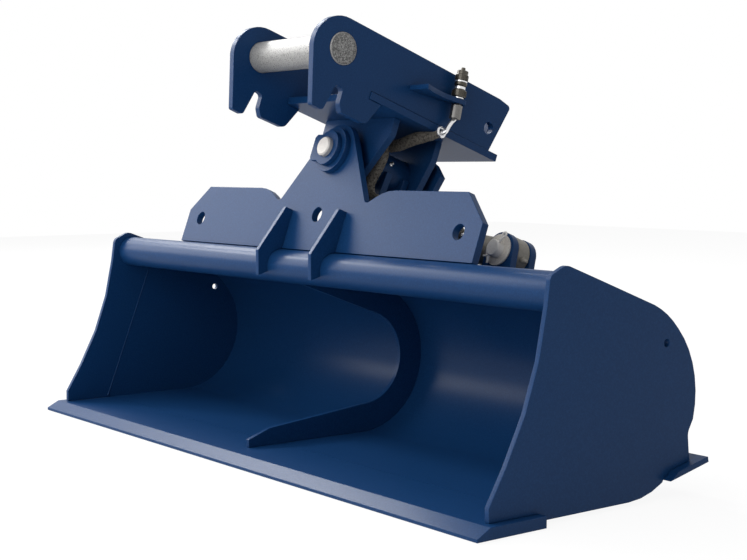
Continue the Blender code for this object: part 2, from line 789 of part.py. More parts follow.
def ear(name, side, carrier):
    """Hitch ear: stands on the base plate, holds the shaft in its front lobe, and hooks
    down in front of the plate, with a jaw for the hitch's latch behind the toe."""
    slot_top = BASE_TOP + GAP
    slot_bottom = BASE_HEIGHT - GAP
    front = BASE_AHEAD + GAP
    crown = (-SHAFT_AHEAD - 0.0027, EAR_TOP - EAR_CROWN)
    corners = [
        (EAR_BACK - 0.0218, slot_top),
        (EAR_BACK, EAR_CORNER, 0.006),
        (EAR_BACK - EAR_CHAMFER, EAR_TOP, 0.006),
        *arc(crown, EAR_CROWN, pi / 2, radians(191)),
        (-0.1440, 0.0198, 0.004),
        (-0.1225, 0.0188, 0.006),
        (-0.1120, 0.0655, 0.006),
        (-0.0974, 0.0620, 0.006),
        (-0.0970, 0.0400, 0.012),
        (-0.0890, 0.0270, 0.006),
        (-0.0400, 0.0272, 0.012),
        (-0.0210, slot_bottom),
        (-front, slot_bottom),
        (-front, slot_top),
    ]
    holes = [
        circle((-SHAFT_AHEAD, SHAFT_HEIGHT), SHAFT_RADIUS + GAP),
        circle(LIFT_HOLE_AT, LIFT_HOLE, SMALL_ROUND),
    ]
    inside = side * EAR_INSIDE
    outside = side * EAR_OUTSIDE
    prism(name, FLANK, rounded(corners), inside, outside, PAINT, carrier, holes=holes)


def cross_plate(carrier):
    """Plate across the base plate that ties the ears together at the back."""
    half = EAR_INSIDE - GAP
    foot = BASE_TOP + GAP
    top = CROSS_PLATE_TOP
    outline = [(half, foot), (half, top), (-half, top), (-half, foot)]
    back = CROSS_PLATE_AT + ARM_THICK
    prism("head_cross_plate", FACE, outline, CROSS_PLATE_AT, back, PAINT, carrier)


def hitch_shaft(carrier):
    frame = FLANK.moved(-SHAFT_AHEAD, SHAFT_HEIGHT)
    end = EAR_OUTSIDE + SHAFT_PROUD
    profile = pin_profile(SHAFT_RADIUS, -end, end, 0.0015)
    turned("hitch_shaft", frame, profile, BLASTED_STEEL, carrier)


def cylinder_lug(name, at):
    """Lug on the shell's top for the cylinder's base pin."""
    head = arc((CYLINDER_SIDE, CYLINDER_HEIGHT), LUG_HALF, 0, pi)
    base = SHELL_TOP + GAP
    outline = [
        (CYLINDER_SIDE + LUG_HALF + LUG_FOOT, base),
        *head,
        (CYLINDER_SIDE - LUG_HALF, base),
    ]
    hole = circle((CYLINDER_SIDE, CYLINDER_HEIGHT), BASE_PIN + GAP)
    prism(name, FACE, outline, at, at + LUG_THICK, PAINT, holes=[hole])


def base_pin(front, rear):
    """Pin through both lugs, with a washer and a split pin at the front."""
    frame = FACE.moved(CYLINDER_SIDE, CYLINDER_HEIGHT)
    head = rear + LUG_THICK + GAP
    chamfer = 0.0015
    profile = [
        (0, BASE_PIN_NOSE),
        (BASE_PIN - chamfer, BASE_PIN_NOSE),
        (BASE_PIN, BASE_PIN_NOSE + chamfer),
        (BASE_PIN, head),
        (WASHER_RADIUS, head),
        (WASHER_RADIUS, head + WASHER_THICK),
        (WASHER_RADIUS - 0.001, head + WASHER_THICK + 0.001),
        (0, head + WASHER_THICK + 0.001),
    ]
    pin = turned("base_pin", frame, profile, RAW_STEEL)
    washer_back = front - GAP
    washer_front = washer_back - WASHER_THICK
    section = ring_profile(BASE_PIN + GAP, WASHER_RADIUS, washer_front, washer_back)
    turned("pin_washer", frame, section, RAW_STEEL, ring=True)
    hole_at = (BASE_PIN_NOSE + washer_front) / 2
    shank = 2 * SPLIT_PIN_WIRE + GAP
    tilt = SPLIT_PIN_LEAN
    leant = frame.up * cos(tilt) + frame.across * sin(tilt)
    drill_frame = Frame(frame.at(0, 0, hole_at), leant.cross(frame.out), frame.out, leant)
    drill_end = 2 * BASE_PIN
    drill = pin_profile(shank + GAP, -drill_end, drill_end, 0.0001)
    boolean(pin, turned("split_pin_drill", drill_frame, drill, RAW_STEEL, sides=16), "DIFFERENCE")
    split_pin(drill_frame)


def split_pin(frame):
    """One wire bent back on itself: an eye above the pin, two legs spread below it."""
    apart = SPLIT_PIN_WIRE + GAP / 2
    below = -BASE_PIN - 0.010
    above = BASE_PIN + 0.004
    eye = 0.0042
    legs = [
        (-0.0085, below),
        (-0.0050, below + 0.003),
        (-apart, -BASE_PIN - 0.002),
        (-apart, above),
    ]
    loop = [
        (eye * cos(angle), above + eye + 0.002 + eye * sin(angle))
        for angle in [radians(215 - 50 * k) for k in range(6)]
    ]
    points = [*legs, *loop, *[(-u, v) for u, v in reversed(legs)]]
    lean = radians(20)
    route = [frame.at(u * cos(lean), u * sin(lean), v) for u, v in points]
    wire("split_pin", route, SPLIT_PIN_WIRE, BRIGHT_STEEL)


def cylinder_frame():
    """Frame of the cylinder: w runs from the base eye towards the rod's eye."""
    base = FACE.at(CYLINDER_SIDE, CYLINDER_HEIGHT, CLEVIS_MIDDLE)
    tip = FACE.at(0, -LEVER_LENGTH + EYE_LIFT, CLEVIS_MIDDLE)
    along = (tip - base).normalized()
    upward = BACK.cross(along)
    if upward.z < 0:
        upward = -upward
    return Frame(base, BACK, upward, along), (tip - base).length


def port_frame(frame, at):
    """Frame of a port on the barrel: w runs forwards, towards the wide pivot plate."""
    return Frame(frame.at(0, 0, at), frame.out, frame.up, -frame.across)


def barrel(frame, carrier):
    """Barrel with two port bosses joined on, and the flat eye welded to its closed end."""
    profile = [
        (0, BARREL_START),
        (BARREL_RADIUS - 0.002, BARREL_START),
        (BARREL_RADIUS, BARREL_START + 0.002),
        (BARREL_RADIUS, BARREL_END),
        (BARREL_BORE, BARREL_END),
        (BARREL_BORE, BARREL_START + BARREL_CAP),
        (0, BARREL_START + BARREL_CAP),
    ]
    body = turned("barrel", frame, profile, PRIMER, carrier)
    for name, at in (("base_port", BASE_PORT_AT), ("gland_port", GLAND_PORT_AT)):
        foot = BARREL_RADIUS - 0.003
        boss = pin_profile(PORT_RADIUS, foot, BARREL_RADIUS + PORT_HEIGHT, 0.001)
        port = turned(name, port_frame(frame, at), boss, PRIMER, carrier, sides=24)
        boolean(body, port, "UNION")
    eye_frame = Frame(frame.origin, frame.out, frame.up, frame.across)
    weld = BARREL_START - GAP
    spread = radians(70)
    outline = [
        *arc((0, 0), EYE_RADIUS, spread, 2 * pi - spread),
        (weld, -BARREL_RADIUS + 0.003),
        (weld, BARREL_RADIUS - 0.003),
    ]
    half = EYE_WIDTH / 2
    hole = circle((0, 0), BASE_PIN + GAP)
    prism("base_eye", eye_frame, outline, -half, half, PRIMER, carrier, holes=[hole])


def gland(frame, carrier):
    """Gland screwed into the barrel's mouth, with a collar against its end."""
    bore = ROD_RADIUS + GAP
    collar = BARREL_END + GAP
    profile = [
        (bore, BARREL_END - GLAND_SLEEVE),
        (BARREL_BORE - GAP, BARREL_END - GLAND_SLEEVE),
        (BARREL_BORE - GAP, collar),
        (BARREL_RADIUS - 0.0015, collar),
        (BARREL_RADIUS - 0.0015, collar + GLAND_COLLAR - 0.002),
        (BARREL_RADIUS - 0.0035, collar + GLAND_COLLAR),
        (bore, collar + GLAND_COLLAR),
    ]
    turned("gland", frame, profile, RAW_STEEL, carrier, ring=True)


def grease_nipple(frame, carrier):
    """Nipple on the base eye, pointing away from the barrel and a little down."""
    lean = radians(-8)
    out = frame.out * -cos(lean) + frame.up * sin(lean)
    place = Frame(frame.origin, frame.across, out.cross(frame.across), out)
    foot = EYE_RADIUS + GAP
    profile = [
        (0, foot),
        (0.0045, foot),
        (0.0045, foot + 0.004),
        (0.0026, foot + 0.005),
        (0.0026, foot + 0.007),
        (0.0033, foot + 0.0085),
        (0.0018, foot + 0.0105),
        (0, foot + 0.0105),
    ]
    turned("grease_nipple", place, profile, PRIMER, carrier, sides=12)


def rod(frame, eye_at, carrier):
    """Piston rod with its piston inside the barrel and its wide eye on the lever pin."""
    bore_start = BARREL_START + BARREL_CAP + ROD_NOSE
    bore_end = BARREL_END - GLAND_SLEEVE
    start = (bore_start + bore_end - PISTON_WIDTH) / 2
    end = eye_at - ROD_EYE_RADIUS - GAP
    profile = pin_profile(ROD_RADIUS, start - ROD_NOSE, end, 0.001)
    turned("piston_rod", frame, profile, BRIGHT_STEEL, carrier, sides=32)
    piston = ring_profile(
        ROD_RADIUS + GAP, BARREL_BORE - GAP, start, start + PISTON_WIDTH
    )
    turned("piston", frame, piston, RAW_STEEL, carrier, ring=True)
    eye_frame = Frame(frame.at(0, 0, eye_at), frame.up, frame.out, frame.across)
    half = EYE_WIDTH / 2
    eye = ring_profile(LEVER_PIN + EYE_PLAY, ROD_EYE_RADIUS, -half, half)
    turned("rod_eye", eye_frame, eye, PRIMER, carrier, ring=True)


def banjo(name, frame, at, carrier):
    """Banjo union on a port: a ring, a bolt head and a sleeve for the hose's end."""
    stand = BARREL_RADIUS + PORT_HEIGHT + GAP
    place = port_frame(frame, at)
    bolt = [
        (0, stand),
        (BANJO_RADIUS, stand),
        (BANJO_RADIUS, stand + BANJO_HEIGHT),
        (0.008, stand + BANJO_HEIGHT),
        (0.008, stand + BANJO_HEIGHT + 0.006),
        (0, stand + BANJO_HEIGHT + 0.006),
    ]
    body = turned(name, place, bolt, BRIGHT_STEEL, carrier, sides=24)
    mouth = banjo_mouth(frame, at)
    sleeve = pin_profile(HOSE_RADIUS * 0.82, 0, BANJO_RADIUS + 0.006, 0.0005)
    boolean(body, turned(name + "_sleeve", mouth, sleeve, BRIGHT_STEEL, carrier, sides=16), "UNION")


def banjo_mouth(frame, at):
    """Frame of a banjo's sleeve: w runs out towards the hose."""
    middle = port_frame(frame, at).at(0, 0, BARREL_RADIUS + PORT_HEIGHT + GAP + BANJO_HEIGHT / 2)
    out = frame.out * cos(BANJO_LEAN) + frame.up * sin(BANJO_LEAN)
    return Frame(middle, frame.across, out.cross(frame.across), out)


def coupling_line(side, carrier):
    """Hose end, bent stem, nut and quick coupler beside one ear."""
    tag = "right" if side > 0 else "left"
    across = EAR_OUTSIDE + GAP + COUPLER_RADIUS
    behind = COUPLER_BEHIND
    mouth = Vector(HOSE_START)
    out = Vector((cos(HOSE_END_RISE), sin(HOSE_END_RISE), 0))
    place_out = X * side * out.x + ABOVE * out.y
    mouth_at = FACE.at(side * mouth.x, mouth.y, mouth.z)
    place = Frame(mouth_at, BACK, place_out.cross(BACK), place_out)
    sleeve = pin_profile(HOSE_RADIUS + 0.0005, 0, HOSE_END_LENGTH, 0.001)
    turned("hose_end_" + tag, place, sleeve, BRIGHT_STEEL, carrier, sides=24)
    start = mouth + out * (HOSE_END_LENGTH + GAP)
    top = Vector((across, NUT_FOOT - GAP, behind))
    stem = [
        start,
        start + out * 0.006,
        start + Vector((0.0095, 0.0070, 0.003)),
        start + Vector((0.0098, 0.0150, 0.007)),
        top + Vector((0.0085, -0.0110, -0.004)),
        top + Vector((0, -0.003, 0)),
        top,
    ]
    route = [FACE.at(side * p.x, p.y, p.z) for p in stem]
    wire("stem_" + tag, smooth_route(route, 0.004), STEM_RADIUS, BRIGHT_STEEL, carrier)
    stand = Frame(FACE.at(side * across, 0, behind), X, BACK, ABOVE)
    wide = COUPLER_RADIUS
    nut_top = NUT_FOOT + NUT_LENGTH
    nut = [
        (0, NUT_FOOT),
        (wide - 0.0012, NUT_FOOT),
        (wide - 0.0005, NUT_FOOT + 0.002),
        (wide - 0.0005, nut_top - 0.002),
        (wide - 0.0025, nut_top),
        (0, nut_top),
    ]
    turned("line_nut_" + tag, stand, nut, RAW_STEEL, carrier, sides=6)
    foot = nut_top + GAP
    coupler = [
        (0, foot),
        (wide - 0.0050, foot),
        (wide - 0.0050, foot + 0.0085),
        (wide - 0.0008, foot + 0.0095),
        (wide, foot + 0.0105),
        (wide, foot + 0.0240),
        (wide - 0.0030, foot + 0.0250),
        (wide - 0.0030, foot + 0.0320),
        (wide - 0.0010, foot + 0.0325),
        (wide - 0.0010, foot + 0.0375),
        (wide - 0.0022, foot + 0.0380),
        (wide - 0.0022, foot + 0.0510),
        (wide - 0.0035, foot + 0.0530),
        (wide - 0.0075, foot + 0.0535),
        (wide - 0.0075, foot + 0.0615),
        (0, foot + 0.0615),
    ]
    turned("coupler_" + tag, stand, coupler, RAW_STEEL, carrier, sides=24)


def hose(name, side, middle, frame, at, carrier):
    """Hose from one head fitting round the hub to a port of the cylinder. The route's
    middle points are (x, h, a)."""
    mouth = banjo_mouth(frame, at)
    end = BANJO_RADIUS + 0.006 + GAP
    x, h, a = HOSE_START
    inwards = [GAP, 0.006, 0.012]
    points = [
        *[FACE.at(side * (x - go), h - go * tan(HOSE_END_RISE), a) for go in inwards],
        *[FACE.at(*point) for point in middle],
        mouth.at(0, 0, end + 0.022),
        mouth.at(0, 0, end + 0.008),
        mouth.at(0, 0, end),
    ]
    wire(name, smooth_route(points, 0.014), HOSE_RADIUS, RUBBER, carrier)


# Routes between the fittings and the ports, chosen by hand as (x, h, a)
LEFT_HOSE_ROUTE = [
    (-0.0820, 0.0535, 0.0935),
    (-0.0660, 0.0545, 0.0855),
    (-0.0450, 0.0570, 0.0730),
    (-0.018, 0.0565, 0.0610),
    (0.012, 0.0480, 0.058),
    (0.036, 0.0290, 0.058),
    (0.0465, 0.0000, 0.058),
    (0.0455, -0.0200, 0.058),
    (0.0490, -0.0390, 0.059),
    (0.0640, -0.0550, 0.060),
    (0.0950, -0.0640, 0.060),
    (0.1450, -0.0680, 0.062),
    (0.1900, -0.0770, 0.066),
    (0.2280, -0.0890, 0.069),
]
RIGHT_HOSE_ROUTE = [
    (0.0800, 0.0550, 0.0955),
    (0.0600, 0.0540, 0.0940),
    (0.0400, 0.0500, 0.0920),
    (0.0200, 0.0460, 0.0910),
    (-0.0020, 0.0440, 0.0890),
    (-0.0260, 0.0360, 0.0830),
    (-0.0430, 0.0120, 0.0760),
    (-0.0440, -0.0180, 0.0710),
    (-0.0300, -0.0470, 0.0685),
    (-0.0050, -0.0700, 0.0665),
    (0.0300, -0.0820, 0.0660),
    (0.0620, -0.0840, 0.0670),
    (0.0860, -0.0830, 0.0690),
]


def bucket():
    cutting_edge()
    shell()
    rear_edge()
    torque_tube()
    centre_rib()
    front_pivot_plate()
    rear_pivot_plate()
    tilt_pin_parts()
    for tag, side in (("right", 1), ("left", -1)):
        side_plate("side_plate_" + tag, side)
        gusset("gusset_" + tag, side)
    cylinder_lug("cylinder_lug_front", CLEVIS_FRONT - LUG_THICK)
    cylinder_lug("cylinder_lug_rear", CLEVIS_REAR)
    base_pin(CLEVIS_FRONT - LUG_THICK, CLEVIS_REAR)


def head():
    carrier = joint_empty("tilt_axis", AXIS_POINT)
    hub(carrier)
    arm("front_arm", FRONT_ARM_AT, FRONT_ARM_HALF, FRONT_ARM_WAIST, FRONT_ARM_ROUND, carrier)
    arm("rear_arm", REAR_ARM_AT, REAR_ARM_HALF, REAR_ARM_WAIST, REAR_ARM_ROUND, carrier)
    lever_plate("lever_plate_front", CLEVIS_FRONT - LUG_THICK, carrier)
    lever_plate("lever_plate_rear", CLEVIS_REAR, carrier)
    lever_pin(CLEVIS_FRONT - LUG_THICK, CLEVIS_REAR + LUG_THICK, carrier)
    base_plate(carrier)
    for tag, side in (("right", 1), ("left", -1)):
        ear("ear_" + tag, side, carrier)
        coupling_line(side, carrier)
    cross_plate(carrier)
    hitch_shaft(carrier)
    return carrier


def cylinder(head_carrier):
    frame, eye_at = cylinder_frame()
    swing = joint_empty("cylinder_axis", frame.origin)
    slide = joint_empty("rod_axis", frame.origin)
    barrel(frame, swing)
    gland(frame, swing)
    grease_nipple(frame, swing)
    banjo("banjo_base", frame, BASE_PORT_AT, swing)
    banjo("banjo_gland", frame, GLAND_PORT_AT, swing)
    rod(frame, eye_at, slide)
    hose("hose_left", -1, LEFT_HOSE_ROUTE, frame, BASE_PORT_AT, head_carrier)
    hose("hose_right", 1, RIGHT_HOSE_ROUTE, frame, GLAND_PORT_AT, head_carrier)


clear_scene()
bucket()
cylinder(head())
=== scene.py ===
"""Looks of a tilting ditching bucket for a small excavator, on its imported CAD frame.

Metres, in the frame of the CAD part: +X across the bucket, +Y towards its back, +Z up, with
the origin in the middle of the cutting edge's flat underside. The head tilts about an axis
that slopes down towards the back: places near it are given as across, behind and above.
"""

import logging
import math
from dataclasses import dataclass, field
from enum import Enum
from typing import Any, Iterable, Mapping, Sequence

import bmesh
import bpy
from mathutils import Matrix, Vector
from mathutils.kdtree import KDTree


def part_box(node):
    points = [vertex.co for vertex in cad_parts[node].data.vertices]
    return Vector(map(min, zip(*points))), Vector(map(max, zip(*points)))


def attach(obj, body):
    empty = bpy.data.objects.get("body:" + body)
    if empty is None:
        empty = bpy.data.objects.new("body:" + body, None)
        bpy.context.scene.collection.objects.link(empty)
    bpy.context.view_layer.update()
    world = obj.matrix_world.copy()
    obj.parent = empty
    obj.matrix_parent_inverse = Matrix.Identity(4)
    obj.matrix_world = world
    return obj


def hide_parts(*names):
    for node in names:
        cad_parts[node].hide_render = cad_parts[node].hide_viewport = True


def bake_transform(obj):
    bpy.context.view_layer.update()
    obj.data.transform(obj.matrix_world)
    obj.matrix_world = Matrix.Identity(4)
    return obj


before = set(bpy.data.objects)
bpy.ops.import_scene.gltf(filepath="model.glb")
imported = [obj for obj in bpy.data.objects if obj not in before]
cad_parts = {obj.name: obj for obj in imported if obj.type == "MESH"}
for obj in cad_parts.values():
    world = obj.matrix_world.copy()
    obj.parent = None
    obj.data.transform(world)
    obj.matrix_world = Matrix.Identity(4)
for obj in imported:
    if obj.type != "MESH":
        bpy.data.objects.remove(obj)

LOG = logging.getLogger("ditching_bucket")
Colour = tuple[float, float, float]

SLOPE = math.radians(20.0)
ACROSS = Vector((1.0, 0.0, 0.0))
BEHIND = Vector((0.0, math.cos(SLOPE), -math.sin(SLOPE)))
ABOVE = Vector((0.0, math.sin(SLOPE), math.cos(SLOPE)))
TILT_AXIS = Vector((0.0, 0.170522, 0.478791))
ROUND_ANGLE = math.radians(38.0)
ROUND_STEPS = 20


class Body(Enum):
    """The CAD bodies that a piece can ride on."""

    BUCKET = "bucket"
    HEAD = "head"
    CYLINDER = "cylinder"
    ROD = "rod"


class Slot(Enum):
    """The record's material slots."""

    PAINT = "navy_paint"
    RAW = "raw_steel"
    BLASTED = "blasted_steel"
    BRIGHT = "bright_steel"
    PRIMER = "grey_primer"
    BRONZE = "bronze"
    RUBBER = "hose_rubber"


def near_axis(across: float, above: float, behind: float) -> Vector:
    """A point given by its distances from the front end of the tilt axis."""
    return TILT_AXIS + ACROSS * across + ABOVE * above + BEHIND * behind


# ---------------------------------------------------------------- shader and geometry trees


@dataclass(frozen=True)
class Signal:
    """An output socket that takes part in sums: each sum adds the Math node it needs."""

    graph: "Graph"
    socket: bpy.types.NodeSocket

    def _math(self, operation: str, *values: Any) -> "Signal":
        """A Math node over values."""
        inputs = dict(enumerate(values))
        return self.graph.add("ShaderNodeMath", {"operation": operation}, inputs)

    def __add__(self, other: Any) -> "Signal":
        """self + other."""
        return self._math("ADD", self, other)

    __radd__ = __add__

    def __mul__(self, other: Any) -> "Signal":
        """self * other."""
        return self._math("MULTIPLY", self, other)

    __rmul__ = __mul__

    def __sub__(self, other: Any) -> "Signal":
        """self - other."""
        return self._math("SUBTRACT", self, other)

    def __rsub__(self, other: Any) -> "Signal":
        """other - self."""
        return self._math("SUBTRACT", other, self)

    def between(self, low: float, high: float) -> "Signal":
        """0 below low, 1 above high and a smooth step from one to the other."""
        return self.graph.add(
            "ShaderNodeMapRange",
            {"interpolation_type": "SMOOTHSTEP"},
            {0: self, 1: low, 2: high, 3: 0.0, 4: 1.0},
        )


class Graph:
    """A node tree with one method that adds any node."""

    def __init__(self, tree: bpy.types.NodeTree) -> None:
        """Starts from the tree as it is."""
        self.tree = tree

    def add(
        self,
        kind: str,
        settings: Mapping[str, Any] | None = None,
        inputs: Mapping[int | str, Any] | None = None,
        output: int | str = 0,
    ) -> Signal:
        """Adds a node.

        Args:
            kind: The node's type name.
            settings: Properties of the node, set before its sockets.
            inputs: Values or signals, by socket name or number.
            output: The socket that the result stands for.

        Returns:
            The chosen output of the new node.
        """
        node = self.tree.nodes.new(kind)
        for name, value in (settings or {}).items():
            setattr(node, name, value)
        for name, value in (inputs or {}).items():
            if isinstance(value, Signal):
                self.tree.links.new(value.socket, node.inputs[name])
            else:
                node.inputs[name].default_value = value
        return Signal(self, node.outputs[output]) if len(node.outputs) else Signal(self, None)

    def noise(self, where: Signal, scale: float, detail: float = 2.0) -> Signal:
        """A noise value about 0.5 at places where, scale times a metre."""
        inputs = {"Vector": where, "Scale": scale, "Detail": detail, "Roughness": 0.55}
        return self.add("ShaderNodeTexNoise", None, inputs)

    def blend(self, share: Any, one: Any, two: Any) -> Signal:
        """A colour that goes from one to two as share goes from 0 to 1."""
        settings = {"data_type": "RGBA"}
        return self.add("ShaderNodeMix", settings, {0: share, 6: one, 7: two}, 2)


def rgba(colour: Colour) -> tuple[float, float, float, float]:
    """A colour with full alpha."""
    return (*colour, 1.0)


# ---------------------------------------------------------------- finishes


@dataclass(frozen=True)
class Finish:
    """A surface finish: a colour with slow and fine variation, roughness and bump.

    Args:
        name: The material's name.
        slot: The record's slot that it belongs to; not used.
        colour: Base colour, linear.
        second: Colour that the fine variation mixes in.
        roughness: Mean roughness.
        metallic: 1 for bare metal, 0 for paint and rubber.
        specular: Specular level.
        grain: Fine variation per metre.
        grain_share: How much of the second colour the fine variation brings.
        clouds: How much the slow variation changes roughness.
        bump: Height of the grain in metres.
        coat: Weight of the clear gloss on top.
        coat_roughness: Its roughness.
    """

    name: str
    slot: Slot
    colour: Colour
    second: Colour
    roughness: float
    metallic: float = 0.0
    specular: float = 0.5
    grain: float = 300.0
    grain_share: float = 0.5
    clouds: float = 0.06
    bump: float = 0.00005
    coat: float = 0.0
    coat_roughness: float = 0.28

    def height(self, graph: Graph, where: Signal, grain: Signal) -> Signal:
        """Height that the bump follows, as a share of the bump's size."""
        return grain

    def tint(self, graph: Graph, where: Signal, grain: Signal) -> Signal:
        """Colour at each place."""
        share = grain.between(0.35, 0.75) * self.grain_share
        return graph.blend(share, rgba(self.colour), rgba(self.second))

    def material(self) -> bpy.types.Material:
        """The finish as a material, made once.

        Returns:
            The material.
        """
        found = bpy.data.materials.get(self.name)
        if found is not None:
            return found
        material = bpy.data.materials.new(self.name)
        material.use_nodes = True
        material.node_tree.nodes.clear()
        graph = Graph(material.node_tree)
        where = graph.add("ShaderNodeTexCoord", output="Object")
        grain = graph.noise(where, self.grain, 3.0)
        slow = graph.noise(where, 7.0, 3.0)
        rough = self.roughness + (slow - 0.5) * self.clouds + (grain - 0.5) * self.clouds
        bump = graph.add(
            "ShaderNodeBump",
            None,
            {"Strength": 1.0, "Distance": self.bump, "Height": self.height(graph, where, grain)},
        )
        inputs = {
            "Base Color": self.tint(graph, where, grain),
            "Roughness": rough,
            "Metallic": self.metallic,
            "Specular IOR Level": self.specular,
            "Coat Weight": self.coat,
            "Coat Roughness": self.coat_roughness,
            "Normal": bump,
        }
        surface = graph.add("ShaderNodeBsdfPrincipled", None, inputs)
        graph.add("ShaderNodeOutputMaterial", None, {"Surface": surface})
        material.diffuse_color = rgba(self.colour)
        return material


@dataclass(frozen=True)
class BlastedFinish(Finish):
    """Steel with a rough grain, scattered darker specks and painted shade on its ends.

    Args:
        end: Distance across from the middle at which the shaded ends start.
        painted_end_shade: Their colour, a painted shade.
    """

    end: float = 1.0
    painted_end_shade: Colour = (0.1, 0.1, 0.1)

    def tint(self, graph: Graph, where: Signal, grain: Signal) -> Signal:
        """Pale steel with specks and painted shade on its ends.

        Args:
            graph: The material's tree.
            where: Object coordinates.
            grain: The fine variation.

        Returns:
            The colour at each place.
        """
        specks = graph.noise(where, self.grain * 1.7, 1.0).between(0.50, 0.68)
        pale = graph.blend(specks * self.grain_share, rgba(self.colour), rgba(self.second))
        scale = graph.add("ShaderNodeSeparateXYZ", None, {0: where})
        across = graph.add("ShaderNodeMath", {"operation": "ABSOLUTE"}, {0: scale})
        flecks = graph.noise(where, self.grain * 1.2, 2.0).between(0.35, 0.75)
        # Painted shade on both ends of the shaft, flecked.
        painted_shade_colour = graph.blend(flecks, rgba(self.painted_end_shade), rgba(self.colour))
        share = across.between(self.end - 0.0001, self.end) * 0.85
        return graph.blend(share, pale, painted_shade_colour)


PAINT = Finish(
    name="navy_paint_satin",
    slot=Slot.PAINT,
    colour=(0.0053, 0.0370, 0.121),
    second=(0.0125, 0.0620, 0.188),
    roughness=0.45,
    specular=0.05,
    grain=420.0,
    bump=0.00004,
    coat=0.17,
)
RAW = Finish(
    name="turned_steel",
    slot=Slot.RAW,
    colour=(0.60, 0.59, 0.57),
    second=(0.40, 0.39, 0.375),
    roughness=0.46,
    metallic=0.25,
    grain=500.0,
    clouds=0.14,
)
# Pale zinc washer steel, made paler and less metallic to paint in light that the pivot plate's
# shade keeps off: partly its own colour, partly painted light.
WASHER_PAINTED_LIGHT = Finish(
    name="zinc_washer_painted_light",
    slot=Slot.RAW,
    colour=(0.80, 0.76, 0.70),
    second=(0.52, 0.48, 0.43),
    roughness=0.50,
    metallic=0.10,
    grain=380.0,
    clouds=0.12,
)
# Pin steel made near white as a painted reflection: it stands in for the bright surround that the
# pins' ends mirror in the pivot plate's shade.
PIN_PAINTED_REFLECTION = Finish(
    name="pin_steel_painted_reflection",
    slot=Slot.RAW,
    colour=(0.92, 0.90, 0.87),
    second=(0.74, 0.72, 0.68),
    roughness=0.42,
    grain=420.0,
    clouds=0.12,
)
NUT = Finish(
    name="zinc_nut_steel",
    slot=Slot.RAW,
    colour=(0.17, 0.165, 0.158),
    second=(0.09, 0.088, 0.084),
    roughness=0.30,
    metallic=0.80,
    grain=500.0,
    clouds=0.14,
)
DARK = Finish(
    name="blackened_steel",
    slot=Slot.RAW,
    colour=(0.085, 0.078, 0.066),
    second=(0.040, 0.037, 0.032),
    roughness=0.26,
    metallic=0.9,
    grain=700.0,
    clouds=0.16,
)
BLASTED = BlastedFinish(
    name="blasted_shaft_steel",
    slot=Slot.BLASTED,
    colour=(0.36, 0.36, 0.355),
    second=(0.09, 0.09, 0.088),
    roughness=0.48,
    metallic=0.25,
    grain=420.0,
    grain_share=0.8,
    bump=0.00018,
    end=0.1180,
    # Painted shade for the shaft's ends.
    painted_end_shade=(0.034, 0.034, 0.034),
)
PIN = Finish(
    name="ground_pin_steel",
    slot=Slot.RAW,
    colour=(0.56, 0.54, 0.52),
    second=(0.44, 0.425, 0.41),
    roughness=0.45,
    metallic=0.30,
    grain=500.0,
    clouds=0.12,
)
BRIGHT = Finish(
    name="bright_plated_steel",
    slot=Slot.BRIGHT,
    colour=(0.78, 0.78, 0.79),
    second=(0.60, 0.60, 0.60),
    roughness=0.22,
    metallic=0.9,
    grain=350.0,
    clouds=0.10,
    bump=0.00002,
)
PRIMER = Finish(
    name="grey_brown_primer",
    slot=Slot.PRIMER,
    colour=(0.25, 0.235, 0.205),
    second=(0.15, 0.138, 0.115),
    roughness=0.50,
    grain=260.0,
    bump=0.00010,
)
BRONZE = Finish(
    name="plain_bronze",
    slot=Slot.BRONZE,
    colour=(0.50, 0.33, 0.14),
    second=(0.38, 0.24, 0.10),
    roughness=0.38,
    metallic=1.0,
)
SLEEVE = Finish(
    name="woven_hose_sleeve",
    slot=Slot.RUBBER,
    colour=(0.215, 0.195, 0.168),
    second=(0.028, 0.025, 0.022),
    roughness=0.62,
    grain=300.0,
    grain_share=1.0,
    bump=0.00025,
)


# ---------------------------------------------------------------- pieces on the frame


def settle(
    obj: bpy.types.Object, finish: Finish, body: Body | None, replaces: Sequence[str] = ()
) -> bpy.types.Object:
    """Gives a finished piece its material and body, and reports it.

    Args:
        obj: The piece, at the origin, with its place in its mesh.
        finish: Its finish.
        body: The body that it rides on, or None to leave it on no body.
        replaces: The CAD nodes that it stands for.

    Returns:
        The same piece.
    """
    obj.data.materials.clear()
    obj.data.materials.append(finish.material())
    if replaces:
        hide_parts(*replaces)
    if body is not None:
        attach(obj, body.value)
    LOG.info("%s: %d faces, %s", obj.name, len(obj.data.polygons), finish.name)
    return obj


def link_mesh(name: str, mesh: bmesh.types.BMesh) -> bpy.types.Object:
    """A bmesh as a new object in the scene.

    Args:
        name: The object's name.
        mesh: Its form, which is freed here.

    Returns:
        The new object.
    """
    data = bpy.data.meshes.new(name)
    mesh.to_mesh(data)
    mesh.free()
    obj = bpy.data.objects.new(name, data)
    bpy.context.scene.collection.objects.link(obj)
    return obj


def apply_modifiers(obj: bpy.types.Object) -> bpy.types.Object:
    """Turns an object's modifiers into its plain mesh.

    Args:
        obj: The object.

    Returns:
        The same object, without modifiers.
    """
    graph = bpy.context.evaluated_depsgraph_get()
    data = bpy.data.meshes.new_from_object(obj.evaluated_get(graph))
    data.name = obj.name
    obj.modifiers.clear()
    obj.data = data
    return obj


def smooth_path(points: Sequence[Vector], spacing: float) -> list[Vector]:
    """Points along a smooth curve through a route's own points.

    Args:
        points: The route.
        spacing: About how far apart the result's points are.

    Returns:
        The curve's points, from the route's first to its last.
    """
    route = [points[0] * 2 - points[1], *points, points[-1] * 2 - points[-2]]
    path: list[Vector] = []
    for before, start, end, after in zip(route, route[1:], route[2:], route[3:]):
        steps = max(1, round((end - start).length / spacing))
        for k in range(steps):
            t = k / steps
            linear = start * 2 + (end - before) * t
            square = (before * 2 - start * 5 + end * 4 - after) * t**2
            cube = (start * 3 - before - end * 3 + after) * t**3
            path.append((linear + square + cube) / 2)
    return [*path, points[-1]]


